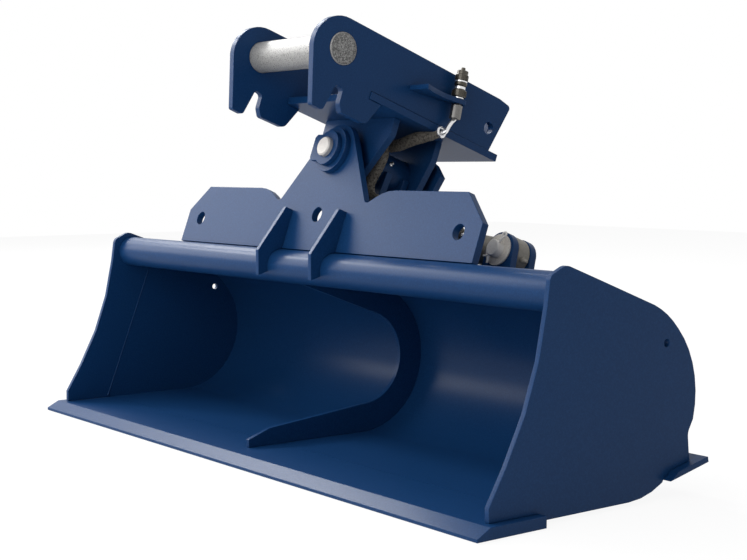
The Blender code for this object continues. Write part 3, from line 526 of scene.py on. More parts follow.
def link_path(name: str, points: Sequence[Vector]) -> bpy.types.Object:
    """A straight-stepped curve object through points.

    Args:
        name: The object's name.
        points: The places that it goes through.

    Returns:
        The new object.
    """
    curve = bpy.data.curves.new(name, "CURVE")
    curve.dimensions = "3D"
    spline = curve.splines.new("POLY")
    spline.points.add(len(points) - 1)
    for place, point in zip(spline.points, points):
        place.co = (*point, 1.0)
    obj = bpy.data.objects.new(name, curve)
    bpy.context.scene.collection.objects.link(obj)
    return obj


class ShapeTree:
    """A Geometry Nodes tree with named inputs, which is built once and used on an object."""

    def __init__(self, name: str, sizes: Mapping[str, float | int | Vector]) -> None:
        """Makes the tree with a geometry input and one input for each size.

        Args:
            name: The tree's name.
            sizes: Each input's name with its value.
        """
        kinds = {int: "NodeSocketInt", float: "NodeSocketFloat", Vector: "NodeSocketVector"}
        self.tree = bpy.data.node_groups.new(name, "GeometryNodeTree")
        self.graph = Graph(self.tree)
        self.sizes = sizes
        self.tree.interface.new_socket("Shape", in_out="INPUT", socket_type="NodeSocketGeometry")
        for label, value in sizes.items():
            kind = kinds[type(value)]
            self.tree.interface.new_socket(label, in_out="INPUT", socket_type=kind)
        self.tree.interface.new_socket("Shape", in_out="OUTPUT", socket_type="NodeSocketGeometry")
        entry = self.tree.nodes.new("NodeGroupInput")
        self.inputs = {
            socket.name: Signal(self.graph, socket) for socket in entry.outputs if socket.name
        }

    def end(self, shape: Signal, material: bpy.types.Material) -> None:
        """Ends the tree in real geometry with its material.

        Args:
            shape: The geometry.
            material: Its material.
        """
        real = self.graph.add("GeometryNodeRealizeInstances", None, {0: shape})
        done = self.graph.add(
            "GeometryNodeSetMaterial", None, {"Geometry": real, "Material": material}
        )
        self.graph.add("NodeGroupOutput", None, {0: done})

    def on(self, obj: bpy.types.Object) -> bpy.types.Object:
        """Runs the tree on an object.

        Args:
            obj: A path or a mesh, which the result replaces.

        Returns:
            A new mesh object of the same name, without modifiers.
        """
        step = obj.modifiers.new("shape", "NODES")
        step.node_group = self.tree
        for item in self.tree.interface.items_tree:
            if item.in_out == "INPUT" and item.name in self.sizes:
                step[item.identifier] = self.sizes[item.name]
        obj.update_tag()
        graph = bpy.context.evaluated_depsgraph_get()
        name = obj.name
        data = bpy.data.meshes.new_from_object(obj.evaluated_get(graph))
        bpy.data.objects.remove(obj, do_unlink=True)
        data.name = name
        result = bpy.data.objects.new(name, data)
        bpy.context.scene.collection.objects.link(result)
        return result


def tube_along(
    name: str, points: Sequence[Vector], radius: float, finish: Finish
) -> bpy.types.Object:
    """A round bar or tube along a smooth path.

    Args:
        name: The new object's name.
        points: The path.
        radius: The bar's radius.
        finish: Its finish.

    Returns:
        The new object.
    """
    tree = ShapeTree(name + "_tree", {"Radius": radius})
    add = tree.graph.add
    sizes = {"Resolution": ROUND_STEPS, "Radius": tree.inputs["Radius"]}
    profile = add("GeometryNodeCurvePrimitiveCircle", None, sizes)
    bar = add(
        "GeometryNodeCurveToMesh",
        None,
        {"Curve": tree.inputs["Shape"], "Profile Curve": profile, "Fill Caps": True},
    )
    tree.end(add("GeometryNodeSetShadeSmooth", None, {0: bar}), finish.material())
    return tree.on(link_path(name, smooth_path(points, 0.001)))


@dataclass
class EdgeStyle:
    """How a plate's edges are broken: bevel width, its steps, and the sharpest smooth angle."""

    width: float = 0.0007
    steps: int = 2
    smooth: float = ROUND_ANGLE


def dressed(
    node: str, finish: Finish, body: Body, edges: EdgeStyle | None = None
) -> bpy.types.Object:
    """A CAD node's form with merged corners, broken edges and smooth round sides.

    Args:
        node: The CAD node that it stands for.
        finish: Its finish.
        body: The body that it rides on.
        edges: How its edges are broken, or None for sharp edges.

    Returns:
        The piece, which replaces the node.
    """
    mesh = bmesh.new()
    mesh.from_mesh(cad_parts[node].data)
    bmesh.ops.remove_doubles(mesh, verts=mesh.verts, dist=0.00001)
    bmesh.ops.dissolve_limit(
        mesh, angle_limit=math.radians(0.4), verts=mesh.verts[:], edges=mesh.edges[:]
    )
    obj = link_mesh(node + "_finished", mesh)
    style = edges or EdgeStyle(width=0.0)
    if style.width > 0:
        bevel = obj.modifiers.new("edges", "BEVEL")
        bevel.width = style.width
        bevel.segments = style.steps
        bevel.limit_method = "ANGLE"
        bevel.angle_limit = style.smooth
        bevel.miter_outer = "MITER_ARC"
        apply_modifiers(obj)
    obj.data.shade_smooth()
    obj.data.set_sharp_from_angle(angle=style.smooth)
    weighted = obj.modifiers.new("normals", "WEIGHTED_NORMAL")
    weighted.keep_sharp = True
    apply_modifiers(obj)
    return settle(obj, finish, body, [node])


def turned(
    name: str,
    origin: Vector,
    axis: Vector,
    profile: Iterable[tuple[float, float]],
    sides: int = 64,
    ring: bool = False,
) -> bpy.types.Object:
    """A (radius, along) profile turned about an axis.

    Args:
        name: The new object's name.
        origin: The point where along is 0.
        axis: The direction of along.
        profile: The section. A ring's is a closed loop, any other starts and ends on the axis.
        sides: Steps round the axis.
        ring: Whether the section is a closed loop.

    Returns:
        The new object, smooth on its round sides.
    """
    out = axis.normalized()
    up = out.orthogonal().normalized()
    side = out.cross(up)
    mesh = bmesh.new()
    loops = []
    for radius, along in profile:
        middle = origin + out * along
        if radius == 0:
            loops.append([mesh.verts.new(middle)] * sides)
            continue
        turns = [2 * math.pi * k / sides for k in range(sides)]
        rim = [middle + (up * math.cos(t) + side * math.sin(t)) * radius for t in turns]
        loops.append([mesh.verts.new(point) for point in rim])
    pairs = list(zip(loops, loops[1:]))
    if ring:
        pairs.append((loops[-1], loops[0]))
    for one, two in pairs:
        for k in range(sides):
            mesh.faces.new(dict.fromkeys((one[k - 1], one[k], two[k], two[k - 1])))
    bmesh.ops.recalc_face_normals(mesh, faces=mesh.faces)
    obj = link_mesh(name, mesh)
    obj.data.shade_smooth()
    obj.data.set_sharp_from_angle(angle=ROUND_ANGLE)
    return obj


# ---------------------------------------------------------------- sub-assemblies


@dataclass
class BucketBody:
    """Blade, shell, side plates, tube, rib and levelling edge."""

    plates: tuple[str, ...] = (
        "side_plate_left",
        "side_plate_right",
        "centre_rib",
        "rear_edge",
    )
    edge: EdgeStyle = field(default_factory=EdgeStyle)
    blade_edge: EdgeStyle = field(
        default_factory=lambda: EdgeStyle(width=0.0006, smooth=math.radians(15.0))
    )
    bend_side: float = 0.5793
    bend_foot: tuple[float, float] = (0.0560, 0.0193)
    bend_top: tuple[float, float] = (0.1500, 0.2644)
    bend_line: float = 0.0010

    def build(self) -> None:
        """Makes every piece of the bucket's body."""
        dressed("cutting_edge", PAINT, Body.BUCKET, self.blade_edge)
        for node in self.plates:
            dressed(node, PAINT, Body.BUCKET, self.edge)
        dressed("shell", PAINT, Body.BUCKET)
        dressed("torque_tube", PAINT, Body.BUCKET)
        for sign, side in ((-1, "left"), (1, "right")):
            self.bend_ridge(sign, side)

    def bend_ridge(self, sign: int, side: str) -> None:
        """Makes the fine ridge where a side plate's front strip is bent in.

        Args:
            sign: -1 for the left side, 1 for the right.
            side: That side's name.
        """
        foot = Vector((sign * self.bend_side, *self.bend_foot))
        top = Vector((sign * self.bend_side, *self.bend_top))
        length = (top - foot).length
        line = self.bend_line
        section = [(0, -line), (line * 2, 0), (line * 2, line * 3), (line, line * 6)]
        section += [(line, length), (0, length)]
        ridge = turned(f"side_bend_{side}", foot, top - foot, section, sides=12)
        settle(ridge, PAINT, Body.BUCKET)


@dataclass
class PivotFrame:
    """Plates, gussets, pin and keeper that carry the tilting head."""

    plates: tuple[str, ...] = (
        "front_pivot_plate",
        "rear_pivot_plate",
        "gusset_left",
        "gusset_right",
        "pivot_boss",
        "keeper_plate",
        "cylinder_lug_front",
        "cylinder_lug_rear",
    )
    edge: EdgeStyle = field(default_factory=EdgeStyle)
    split_lean: float = math.radians(34.0)
    split_radius: float = 0.0015
    split_path: tuple[tuple[float, float], ...] = (
        (-0.0225, 0.0070),
        (-0.0170, 0.0028),
        (-0.0120, 0.0012),
        (0.0040, 0.0012),
        (0.0190, 0.0012),
        (0.0230, 0.0030),
        (0.0270, 0.0030),
        (0.0295, 0.0000),
        (0.0270, -0.0030),
        (0.0230, -0.0030),
        (0.0190, -0.0012),
        (0.0040, -0.0012),
        (-0.0120, -0.0012),
        (-0.0160, -0.0030),
        (-0.0200, -0.0080),
    )

    def build(self) -> None:
        """Makes the plates and the pins."""
        for node in self.plates:
            dressed(node, PAINT, Body.BUCKET, self.edge)
        dressed("tilt_pin", PIN, Body.BUCKET)
        # The base pin's end carries a painted reflection.
        dressed("base_pin", PIN_PAINTED_REFLECTION, Body.BUCKET)
        # The washer's pale colour is partly painted light.
        dressed("pin_washer", WASHER_PAINTED_LIGHT, Body.BUCKET, EdgeStyle(width=0.0004))
        self.split_pin()

    def split_pin(self) -> None:
        """Makes the split pin with its eye at the top and its legs bent apart below."""
        low, high = (Vector(corner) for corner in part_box("split_pin"))
        middle = (low + high) / 2
        along = ACROSS * math.sin(self.split_lean) + ABOVE * math.cos(self.split_lean)
        out = ACROSS * math.cos(self.split_lean) - ABOVE * math.sin(self.split_lean)
        points = [middle + along * far + out * aside for far, aside in self.split_path]
        # The split pin shares the pale pin finish, a painted reflection.
        pin = tube_along("split_pin_finished", points, self.split_radius, PIN_PAINTED_REFLECTION)
        settle(pin, PIN_PAINTED_REFLECTION, Body.BUCKET, ["split_pin"])


@dataclass
class TiltHead:
    """Hub, hangers, levers, base plate, ears and hitch shaft."""

    plates: tuple[str, ...] = (
        "front_arm",
        "rear_arm",
        "lever_plate_front",
        "lever_plate_rear",
        "head_base_plate",
        "head_cross_plate",
        "ear_left",
        "ear_right",
    )
    edge: EdgeStyle = field(default_factory=EdgeStyle)
    nipple_behind: float = 0.0915
    nipple_rise: float = math.radians(19.0)
    nipple: tuple[tuple[float, float], ...] = (
        (0.0, 0.0310),
        (0.0036, 0.0310),
        (0.0036, 0.0345),
        (0.0022, 0.0350),
        (0.0022, 0.0372),
        (0.0031, 0.0384),
        (0.0022, 0.0402),
        (0.0, 0.0406),
    )

    def build(self) -> None:
        """Makes every piece of the head but the hydraulic lines."""
        for node in self.plates:
            dressed(node, PAINT, Body.HEAD, self.edge)
        dressed("hub_tube", PAINT, Body.HEAD)
        self.hub_nipple()
        dressed("bush_front", BRONZE, Body.HEAD)
        dressed("bush_rear", BRONZE, Body.HEAD)
        dressed("lever_pin", RAW, Body.HEAD)
        dressed("lever_pin_ring", RAW, Body.HEAD)
        dressed("hitch_shaft", BLASTED, Body.HEAD)

    def hub_nipple(self) -> None:
        """Makes the grease nipple on the side of the hub."""
        out = ACROSS * math.cos(self.nipple_rise) + ABOVE * math.sin(self.nipple_rise)
        foot = near_axis(0.0, 0.0, self.nipple_behind)
        nipple = turned("hub_grease_nipple", foot, out, self.nipple, sides=24)
        settle(nipple, BRIGHT, Body.HEAD)


@dataclass
class TiltCylinder:
    """Cylinder that tilts the head, with its rod."""

    def build(self) -> None:
        """Makes the barrel's pieces and the rod's."""
        dressed("barrel", PRIMER, Body.CYLINDER, EdgeStyle(width=0.0005))
        dressed("base_eye", PRIMER, Body.CYLINDER, EdgeStyle(width=0.0008))
        dressed("gland", RAW, Body.CYLINDER, EdgeStyle(width=0.0004))
        dressed("grease_nipple", PRIMER, Body.CYLINDER)
        dressed("banjo_base", BRIGHT, Body.CYLINDER)
        dressed("banjo_gland", BRIGHT, Body.CYLINDER)
        dressed("piston_rod", BRIGHT, Body.ROD)
        dressed("piston", RAW, Body.ROD)
        dressed("rod_eye", PRIMER, Body.ROD, EdgeStyle(width=0.0008))


@dataclass
class CouplingLine:
    """Fittings beside one ear: ring, bent stem, nut, quick coupler and the bracket it stands in.

    Places across and behind are near the tilt axis. Heights along the coupler start at the
    middle of the bracket, where lean is how far the coupler leans forwards.
    """

    side: str
    sign: int
    across: float = 0.1322
    behind: float = 0.1100
    above: float = 0.1240
    lean: float = math.radians(7.0)
    bracket_half: float = 0.0040
    bracket: tuple[tuple[float, float], ...] = (
        (0.1169, -0.0890),
        (0.1630, -0.0890),
        (0.1530, -0.0700),
        (0.1425, -0.0390),
        (0.1405, -0.0290),
        (0.1405, 0.0100),
        (0.1370, 0.0140),
        (0.1169, 0.0200),
    )
    nut: tuple[tuple[float, float], ...] = (
        (0.0, -0.0295),
        (0.0078, -0.0295),
        (0.0093, -0.0280),
        (0.0093, -0.0070),
        (0.0080, -0.0055),
        (0.0070, -0.0040),
        (0.0, -0.0040),
    )
    coupler: tuple[tuple[float, float], ...] = (
        (0.0, 0.0040),
        (0.0072, 0.0040),
        (0.0076, 0.0064),
        (0.0110, 0.0070),
        (0.0114, 0.0080),
        (0.0114, 0.0172),
        (0.0106, 0.0182),
        (0.0084, 0.0186),
        (0.0084, 0.0246),
        (0.0096, 0.0252),
        (0.0102, 0.0262),
        (0.0102, 0.0300),
        (0.0094, 0.0304),
        (0.0094, 0.0338),
        (0.0102, 0.0342),
        (0.0102, 0.0425),
        (0.0090, 0.0440),
        (0.0090, 0.0490),
        (0.0080, 0.0500),
        (0.0034, 0.0502),
        (0.0034, 0.0545),
        (0.0026, 0.0552),
        (0.0, 0.0552),
    )
    # Bright plated bands round the coupler, as (inner, outer, low, high), set where its glints
    # fall: partly real plating, partly painted highlight.
    painted_glint_bands: tuple[tuple[float, float, float, float], ...] = (
        (0.0060, 0.0086, 0.0044, 0.0060),
        (0.0078, 0.0086, 0.0198, 0.0236),
        (0.0090, 0.0099, 0.0311, 0.0331),
    )
    grips: tuple[tuple[float, float], ...] = ((0.0114, 0.0126), (0.0101, 0.0384))
    ridges: int = 26
    ridge: tuple[float, float, float] = (0.0011, 0.0011, 0.0078)
    eye: tuple[float, float, float] = (0.1308, 0.0666, 0.0960)
    eye_rise: float = 0.15
    eye_ring: tuple[tuple[float, float], ...] = (
        (0.0050, -0.0020),
        (0.0084, -0.0020),
        (0.0095, -0.0010),
        (0.0095, 0.0010),
        (0.0084, 0.0020),
        (0.0062, 0.0020),
        (0.0050, 0.0008),
    )
    stem_radius: float = 0.0038
    stem: tuple[tuple[float, float, float], ...] = (
        (0.1280, 0.0656, 0.0962),
        (0.1330, 0.0654, 0.0964),
        (0.1370, 0.0662, 0.0970),
        (0.1388, 0.0698, 0.0984),
        (0.1376, 0.0768, 0.1010),
        (0.1350, 0.0855, 0.1060),
        (0.1328, 0.0912, 0.1108),
        (0.1320, 0.0950, 0.1132),
        (0.1322, 0.0990, 0.1131),
    )

    def __post_init__(self) -> None:
        """Works out the coupler's own directions."""
        self.middle = near_axis(self.sign * self.across, self.above, self.behind)
        self.up = ABOVE * math.cos(self.lean) - BEHIND * math.sin(self.lean)
        self.back = BEHIND * math.cos(self.lean) + ABOVE * math.sin(self.lean)

    def build(self) -> None:
        """Makes this side's pieces."""
        self.bracket_plate()
        nut = turned(f"line_nut_{self.side}_finished", self.middle, self.up, self.nut, sides=6)
        settle(self.hexagon_edges(nut), NUT, Body.HEAD, [f"line_nut_{self.side}"])
        coupler = turned(
            f"coupler_{self.side}_finished", self.middle, self.up, self.coupler, sides=48
        )
        settle(coupler, DARK, Body.HEAD, [f"coupler_{self.side}"])
        # Each band is bright plated steel that also stands in as a painted highlight for a glint.
        for number, (inner, outer, low, high) in enumerate(self.painted_glint_bands):
            section = [(inner, low), (outer, low), (outer, high), (inner, high)]
            name = f"coupler_ring_{self.side}_{number}"
            ring = turned(name, self.middle, self.up, section, sides=48, ring=True)
            settle(ring, BRIGHT, Body.HEAD)
        for number, (radius, height) in enumerate(self.grips):
            self.grip(number, radius, height)
        across, above, behind = self.eye
        eye = turned(
            f"hose_end_{self.side}_finished",
            near_axis(self.sign * across, above, behind),
            ACROSS * self.sign * math.cos(self.eye_rise) + ABOVE * math.sin(self.eye_rise),
            self.eye_ring,
            sides=40,
            ring=True,
        )
        settle(eye, BRIGHT, Body.HEAD, [f"hose_end_{self.side}"])
        self.bent_stem()

    @staticmethod
    def hexagon_edges(obj: bpy.types.Object) -> bpy.types.Object:
        """Breaks a nut's edges and keeps its flats flat.

        Args:
            obj: The nut.

        Returns:
            The same nut.
        """
        bevel = obj.modifiers.new("edges", "BEVEL")
        bevel.width = 0.0004
        bevel.segments = 2
        bevel.limit_method = "ANGLE"
        bevel.angle_limit = math.radians(20)
        apply_modifiers(obj)
        obj.data.set_sharp_from_angle(angle=math.radians(22))
        return obj

    def bracket_plate(self) -> None:
        """Makes the plate on the ear that holds the coupler."""
        mesh = bmesh.new()
        loops = []
        for height in (-self.bracket_half, self.bracket_half):
            start = self.middle + self.up * height
            loops.append(
                [
                    mesh.verts.new(
                        start + ACROSS * self.sign * (across - self.across) + self.back * behind
                    )
                    for across, behind in self.bracket
                ]
            )
        low, high = loops
        mesh.faces.new(low)
        mesh.faces.new(high)
        for k in range(len(low)):
            mesh.faces.new((low[k - 1], low[k], high[k], high[k - 1]))
        bmesh.ops.recalc_face_normals(mesh, faces=mesh.faces)
        obj = link_mesh(f"coupler_bracket_{self.side}", mesh)
        bevel = obj.modifiers.new("edges", "BEVEL")
        bevel.width = 0.0008
        bevel.segments = 2
        apply_modifiers(obj)
        obj.data.shade_smooth()
        obj.data.set_sharp_from_angle(angle=ROUND_ANGLE)
        settle(obj, PAINT, Body.HEAD)

    def grip(self, number: int, radius: float, height: float) -> None:
        """Makes the ridges round one grip of the coupler.

        Args:
            number: The grip's number in its name.
            radius: The grip's radius.
            height: The middle of the ridges along the coupler.
        """
        tree = ShapeTree(
            f"grip_{self.side}_{number}",
            {
                "Ridges": self.ridges,
                "Radius": radius,
                "Ridge": Vector(self.ridge),
                "Place": self.middle + self.up * height,
                "Turn": Vector(self.up.to_track_quat("Z", "X").to_euler()),
            },
        )
        ask = tree.inputs
        add = tree.graph.add
        sizes = {"Vertices": ask["Ridges"], "Radius": ask["Radius"]}
        ring = add("GeometryNodeMeshCircle", None, sizes)
        bar = add("GeometryNodeMeshCube", None, {"Size": ask["Ridge"]})
        turn = add(
            "ShaderNodeCombineXYZ",
            None,
            {"Z": add("GeometryNodeInputIndex") * (2 * math.pi / self.ridges)},
        )
        row = {"Points": ring, "Instance": bar, "Rotation": turn}
        bars = add("GeometryNodeInstanceOnPoints", None, row)
        placed = add(
            "GeometryNodeTransform",
            None,
            {"Geometry": bars, "Translation": ask["Place"], "Rotation": ask["Turn"]},
        )
        tree.end(placed, DARK.material())
        blank = link_mesh(f"coupler_grip_{self.side}_{number}", bmesh.new())
        settle(tree.on(blank), DARK, Body.HEAD)

    def bent_stem(self) -> None:
        """Makes the tube from the hose's ring to the nut."""
        points = [near_axis(self.sign * x, above, behind) for x, above, behind in self.stem]
        name = f"stem_{self.side}"
        tube = tube_along(name + "_finished", points, self.stem_radius, BRIGHT)
        settle(tube, BRIGHT, Body.HEAD, [name])


@dataclass
class HydraulicLines:
    """Both sides' fittings and the hoses in their woven sleeves."""

    end_radius: float = 0.0056
    hose_radius: float = 0.0085
    sleeve_radius: float = 0.0096
    strand_radius: float = 0.0006
    strands: int = 9
    strand_sides: int = 5
    pitch: float = 0.046
    step: float = 0.003
    swell: tuple[float, float] = (0.004, 0.056)
    taper: tuple[float, float] = (0.93, 0.99)
    weave_share: float = 0.6
    bend_start: float = 0.050
    bend_end: float = -0.075
    tail: float = 0.056
    tail_start: float = 0.008
    routes: tuple[tuple[tuple[float, float, float], ...], ...] = (
        (
            (-0.1290, 0.0658, 0.0960),
            (-0.1220, 0.0628, 0.0960),
            (-0.1128, 0.0606, 0.0960),
            (-0.1020, 0.0594, 0.0955),
            (-0.0820, 0.0570, 0.0925),
            (-0.0640, 0.0565, 0.0845),
            (-0.0450, 0.0570, 0.0730),
            (-0.0180, 0.0565, 0.0610),
            (0.0120, 0.0500, 0.0590),
            (0.0350, 0.0350, 0.0590),
            (0.0465, 0.0153, 0.0590),
            (0.0435, -0.0025, 0.0590),
            (0.0365, -0.0205, 0.0590),
            (0.0325, -0.0340, 0.0590),
            (0.0370, -0.0485, 0.0595),
            (0.0505, -0.0590, 0.0600),
            (0.0700, -0.0630, 0.0600),
            (0.0980, -0.0650, 0.0600),
            (0.1450, -0.0680, 0.0620),
            (0.1900, -0.0770, 0.0660),
            (0.2280, -0.0890, 0.0690),
            (0.2605, -0.1008, 0.0697),
            (0.2732, -0.1068, 0.0697),
            (0.2804, -0.1101, 0.0697),
        ),
        (
            (0.1290, 0.0658, 0.0960),
            (0.1220, 0.0628, 0.0960),
            (0.1128, 0.0606, 0.0960),
            (0.1020, 0.0596, 0.0958),
            (0.0910, 0.0587, 0.0955),
            (0.0755, 0.0566, 0.0950),
            (0.0615, 0.0524, 0.0935),
            (0.0505, 0.0478, 0.0920),
            (0.0390, 0.0430, 0.0895),
            (0.0240, 0.0410, 0.0875),
            (0.0050, 0.0425, 0.0865),
            (-0.0240, 0.0375, 0.0830),
            (-0.0425, 0.0140, 0.0750),
            (-0.0440, -0.0180, 0.0710),
            (-0.0300, -0.0470, 0.0685),
            (-0.0050, -0.0700, 0.0665),
            (0.0300, -0.0820, 0.0660),
            (0.0620, -0.0840, 0.0670),
            (0.0860, -0.0830, 0.0690),
            (0.1083, -0.0880, 0.0697),
            (0.1210, -0.0939, 0.0697),
            (0.1282, -0.0973, 0.0697),
        ),
    )

    def build(self) -> None:
        """Makes both sides' lines."""
        sleeve = self.sleeve_tree()
        for sign, side, route in zip((-1, 1), ("left", "right"), self.routes):
            CouplingLine(side, sign).build()
            self.hose(side, route, sleeve)

    def sleeve_tree(self) -> ShapeTree:
        """The tree that lays a woven sleeve along a path.

        Returns:
            The tree: a round core that starts and ends at the hose's own size, with strands
            that wind round it both ways.
        """
        tree = ShapeTree(
            "woven_sleeve",
            {
                "End radius": self.end_radius,
                "Hose radius": self.hose_radius,
                "Sleeve radius": self.sleeve_radius,
                "Strand radius": self.strand_radius,
                "Strands": self.strands,
                "Pitch": self.pitch,
            },
        )
        graph = tree.graph
        ask = tree.inputs
        path = graph.add(
            "GeometryNodeResampleCurve",
            {"mode": "LENGTH"},
            {"Curve": ask["Shape"], "Length": self.step},
        )
        along = graph.add("GeometryNodeSplineParameter", output="Length")
        share = graph.add("GeometryNodeSplineParameter", output="Factor")
        start = (ask["End radius"] - ask["Sleeve radius"]) * (1.0 - along.between(*self.swell))
        end = (ask["Hose radius"] - ask["Sleeve radius"]) * share.between(*self.taper)
        thick = ask["Sleeve radius"] + start + end
        core_profile = graph.add(
            "GeometryNodeCurvePrimitiveCircle", None, {"Resolution": ROUND_STEPS, "Radius": 1.0}
        )
        core = graph.add(
            "GeometryNodeCurveToMesh",
            None,
            {
                "Curve": path,
                "Profile Curve": core_profile,
                "Scale": thick - ask["Strand radius"],
                "Fill Caps": True,
            },
        )
        pieces = [core]
        for way in (1.0, -1.0):
            pieces.append(self.strand_layer(tree, path, along, thick, way))
        join = graph.add("GeometryNodeJoinGeometry", None, {0: pieces[0]})
        for piece in pieces[1:]:
            graph.tree.links.new(piece.socket, join.socket.node.inputs[0])
        smooth = graph.add("GeometryNodeSetShadeSmooth", None, {0: join})
        tree.end(smooth, SLEEVE.material())
        return tree

    def strand_layer(
        self, tree: ShapeTree, path: Signal, along: Signal, thick: Signal, way: float
    ) -> Signal:
        """The strands that wind one way round a path.

        Args:
            tree: The sleeve's tree.
            path: The hose's middle line.
            along: Distance along it.
            thick: The sleeve's radius at each place.
            way: 1 or -1 for the sense of turn.

        Returns:
            The strands as a mesh.
        """
        graph = tree.graph
        ask = tree.inputs
        copies = graph.add(
            "GeometryNodeDuplicateElements",
            {"domain": "SPLINE"},
            {"Geometry": path, "Amount": ask["Strands"]},
        )
        index = Signal(graph, copies.socket.node.outputs["Duplicate Index"])
        turns = along * (1.0 / self.pitch) * way + index * (1.0 / self.strands)
        angle = turns * (2 * math.pi)
        cosine = graph.add("ShaderNodeMath", {"operation": "COSINE"}, {0: angle})
        sine = graph.add("ShaderNodeMath", {"operation": "SINE"}, {0: angle})
        weave = graph.add("ShaderNodeMath", {"operation": "SINE"}, {0: angle * self.strands})
        lift = thick + weave * (way * self.weave_share) * ask["Strand radius"]
        normal = graph.add("GeometryNodeInputNormal")
        tangent = graph.add("GeometryNodeInputTangent")
        side = graph.add(
            "ShaderNodeVectorMath", {"operation": "CROSS_PRODUCT"}, {0: tangent, 1: normal}
        )
        up = graph.add(
            "ShaderNodeVectorMath", {"operation": "SCALE"}, {0: normal, "Scale": cosine * lift}
        )
        across = graph.add(
            "ShaderNodeVectorMath", {"operation": "SCALE"}, {0: side, "Scale": sine * lift}
        )
        offset = graph.add("ShaderNodeVectorMath", {"operation": "ADD"}, {0: up, 1: across})
        wound = graph.add(
            "GeometryNodeSetPosition", None, {"Geometry": copies, "Offset": offset}
        )
        profile = graph.add(
            "GeometryNodeCurvePrimitiveCircle",
            None,
            {"Resolution": self.strand_sides, "Radius": ask["Strand radius"]},
        )
        return graph.add(
            "GeometryNodeCurveToMesh", None, {"Curve": wound, "Profile Curve": profile}
        )

    def hose(
        self, side: str, route: Sequence[tuple[float, float, float]], sleeve: ShapeTree
    ) -> None:
        """Makes one hose along its route from the head's fitting to the cylinder, with its last
        length parted off.

        Args:
            side: Which of the head's fittings it starts at.
            route: Its (across, above, behind) places.
            sleeve: The tree that lays the woven sleeve.
        """
        node = f"hose_{side}"
        path = smooth_path([near_axis(*place) for place in route], 0.004)
        obj = sleeve.on(link_path(node + "_sleeve", path))
        tail = self.tail_of(obj, node + "_tail", path)
        settle(obj, SLEEVE, None, [node])
        start = near_axis(0.0, self.bend_start, 0.06)
        end = near_axis(0.0, self.bend_end, 0.06)
        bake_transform(obj)
        settle(tail, SLEEVE, None, [node])
        start = path[-1] + (path[-1] - path[-4]).normalized() * (self.tail_start - self.tail)
        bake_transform(tail)

    def tail_of(
        self, hose: bpy.types.Object, name: str, path: Sequence[Vector]
    ) -> bpy.types.Object:
        """Parts the hose's last length from it.

        Args:
            hose: The whole hose, which keeps the rest.
            name: The last length's name.
            path: The hose's middle line.

        Returns:
            The last length as an object of its own.
        """
        points = KDTree(len(path))
        for index, point in enumerate(path):
            points.insert(point, index)
        points.balance()
        first = len(path) - 1
        length = 0.0
        while length < self.tail:
            length += (path[first] - path[first - 1]).length
            first -= 1
        tail = link_mesh(name, bmesh.new())
        for obj, last in ((tail, True), (hose, False)):
            mesh = bmesh.new()
            mesh.from_mesh(hose.data)
            spare = [
                face
                for face in mesh.faces
                if (points.find(face.calc_center_median())[1] >= first) != last
            ]
            bmesh.ops.delete(mesh, geom=spare, context="FACES")
            rim = [edge for edge in mesh.edges if edge.is_boundary]
            bmesh.ops.holes_fill(mesh, edges=rim, sides=0)
            mesh.to_mesh(obj.data)
            mesh.free()
            obj.data.shade_smooth()
        return tail


# ---------------------------------------------------------------- studio


@dataclass
class Softbox:
    """An area lamp: where it stands, what it points at, its size, power and colour."""

    name: str
    place: tuple[float, float, float]
    target: tuple[float, float, float]
    size: float
    power: float
    colour: Colour = (1.0, 1.0, 1.0)

    def build(self) -> None:
        """Adds the lamp."""
        data = bpy.data.lights.new(self.name, "AREA")
        data.shape = "SQUARE"
        data.size = self.size
        data.energy = self.power
        data.color = self.colour
        lamp = bpy.data.objects.new(self.name, data)
        lamp.location = self.place
        aim = Vector(self.target) - Vector(self.place)
        lamp.rotation_euler = aim.to_track_quat("-Z", "Y").to_euler()
        bpy.context.scene.collection.objects.link(lamp)


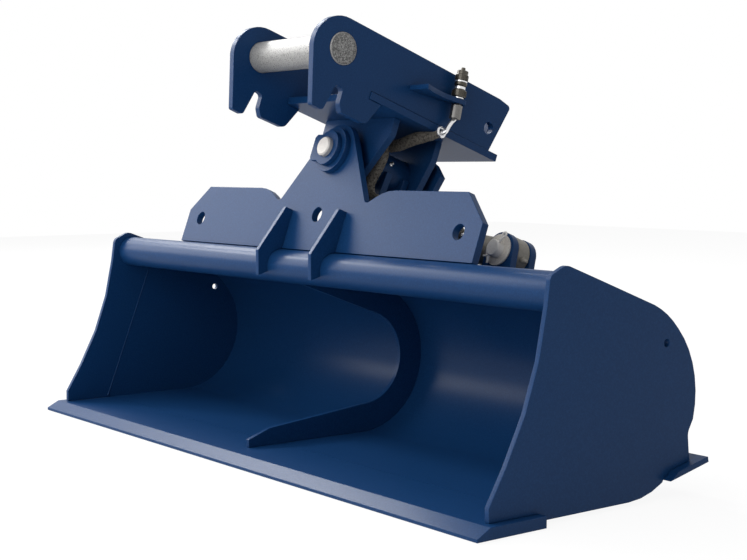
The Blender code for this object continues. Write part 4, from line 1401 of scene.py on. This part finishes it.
@dataclass
class Studio:
    """Camera, lamps, world and floor."""

    camera_place: tuple[float, float, float] = (1.8473, -1.18595, 0.4518)
    camera_turn: tuple[float, float] = (85.473, 52.167)
    lens: float = 68.19
    ambient: float = 0.29
    floor_size: float = 14.0
    floor_drop: float = 0.0015
    floor_glow: float = 1.08
    floor_share: float = 0.85
    lamps: tuple[Softbox, ...] = (
        Softbox("key_lamp", (-3.1, -1.65, 1.95), (0.0, 0.1, 0.3), 2.2, 82.0, (1.0, 0.98, 0.96)),
        Softbox("edge_lamp", (-3.6, -0.58, 2.6), (0.0, 0.1, 0.3), 0.6, 42.0),
        Softbox("side_lamp", (-4.45, 1.0, 3.6), (0.0, 0.1, 0.3), 1.6, 138.0),
        Softbox("fill_lamp", (1.1, -3.0, 1.7), (0.0, 0.1, 0.3), 2.6, 42.0),
        Softbox("top_lamp", (-0.6, -1.5, 3.6), (0.0, 0.1, 0.2), 2.0, 34.0),
    )

    def build(self) -> None:
        """Adds everything of the studio."""
        self.camera()
        self.world()
        self.floor()
        for lamp in self.lamps:
            lamp.build()

    def camera(self) -> None:
        """Adds the camera at the photograph's view."""
        data = bpy.data.cameras.new("camera")
        data.lens = self.lens
        data.sensor_width = 36.0
        data.clip_end = 60.0
        obj = bpy.data.objects.new("camera", data)
        obj.location = self.camera_place
        up, turn = self.camera_turn
        obj.rotation_euler = (math.radians(up), 0.0, math.radians(turn))
        bpy.context.scene.collection.objects.link(obj)
        bpy.context.scene.camera = obj

    def seen(self, graph: Graph) -> Signal:
        """1 for rays that look at the background, also in a reflection.

        Args:
            graph: The tree that asks.

        Returns:
            1 or 0 as a signal.
        """
        path = graph.add("ShaderNodeLightPath", output="Is Camera Ray")
        node = path.socket.node
        glossy = Signal(graph, node.outputs["Is Glossy Ray"])
        through = Signal(graph, node.outputs["Is Transmission Ray"])
        return (path + glossy + through).between(0.0, 1.0)

    def world(self) -> None:
        """A white surround that lights the part only a little."""
        world = bpy.data.worlds.new("studio")
        world.use_nodes = True
        world.node_tree.nodes.clear()
        graph = Graph(world.node_tree)
        inputs = {"Color": (1, 1, 1, 1), "Strength": self.ambient}
        dim = graph.add("ShaderNodeBackground", None, inputs)
        white = graph.add("ShaderNodeBackground", None, {"Color": (1, 1, 1, 1), "Strength": 1.0})
        both = graph.add("ShaderNodeMixShader", None, {0: self.seen(graph), 1: dim, 2: white})
        graph.add("ShaderNodeOutputWorld", None, {"Surface": both})
        bpy.context.scene.world = world

    def floor(self) -> None:
        """A pale floor just below the blade, which keeps the shadow."""
        mesh = bmesh.new()
        bmesh.ops.create_grid(mesh, x_segments=1, y_segments=1, size=self.floor_size / 2)
        obj = link_mesh("floor", mesh)
        obj.data.transform(Matrix.Translation((0, 0, -self.floor_drop)))
        material = bpy.data.materials.new("floor_white")
        material.use_nodes = True
        material.node_tree.nodes.clear()
        graph = Graph(material.node_tree)
        matt = graph.add("ShaderNodeBsdfDiffuse", None, {"Color": (0.85, 0.85, 0.85, 1)})
        light = {"Color": (1, 1, 1, 1), "Strength": self.floor_glow}
        glow = graph.add("ShaderNodeEmission", None, light)
        share = self.seen(graph) * self.floor_share
        both = graph.add("ShaderNodeMixShader", None, {0: share, 1: matt, 2: glow})
        graph.add("ShaderNodeOutputMaterial", None, {"Surface": both})
        obj.data.materials.append(material)


def main() -> None:
    """Builds the studio and every sub-assembly."""
    logging.basicConfig(level=logging.INFO, format="%(name)s %(message)s")
    scene = bpy.context.scene
    scene.view_settings.view_transform = "Standard"
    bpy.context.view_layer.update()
    Studio().build()
    for part in (BucketBody(), PivotFrame(), TiltHead(), TiltCylinder(), HydraulicLines()):
        LOG.info("building %s", type(part).__name__)
        part.build()


if __name__ == "__main__":
    main()
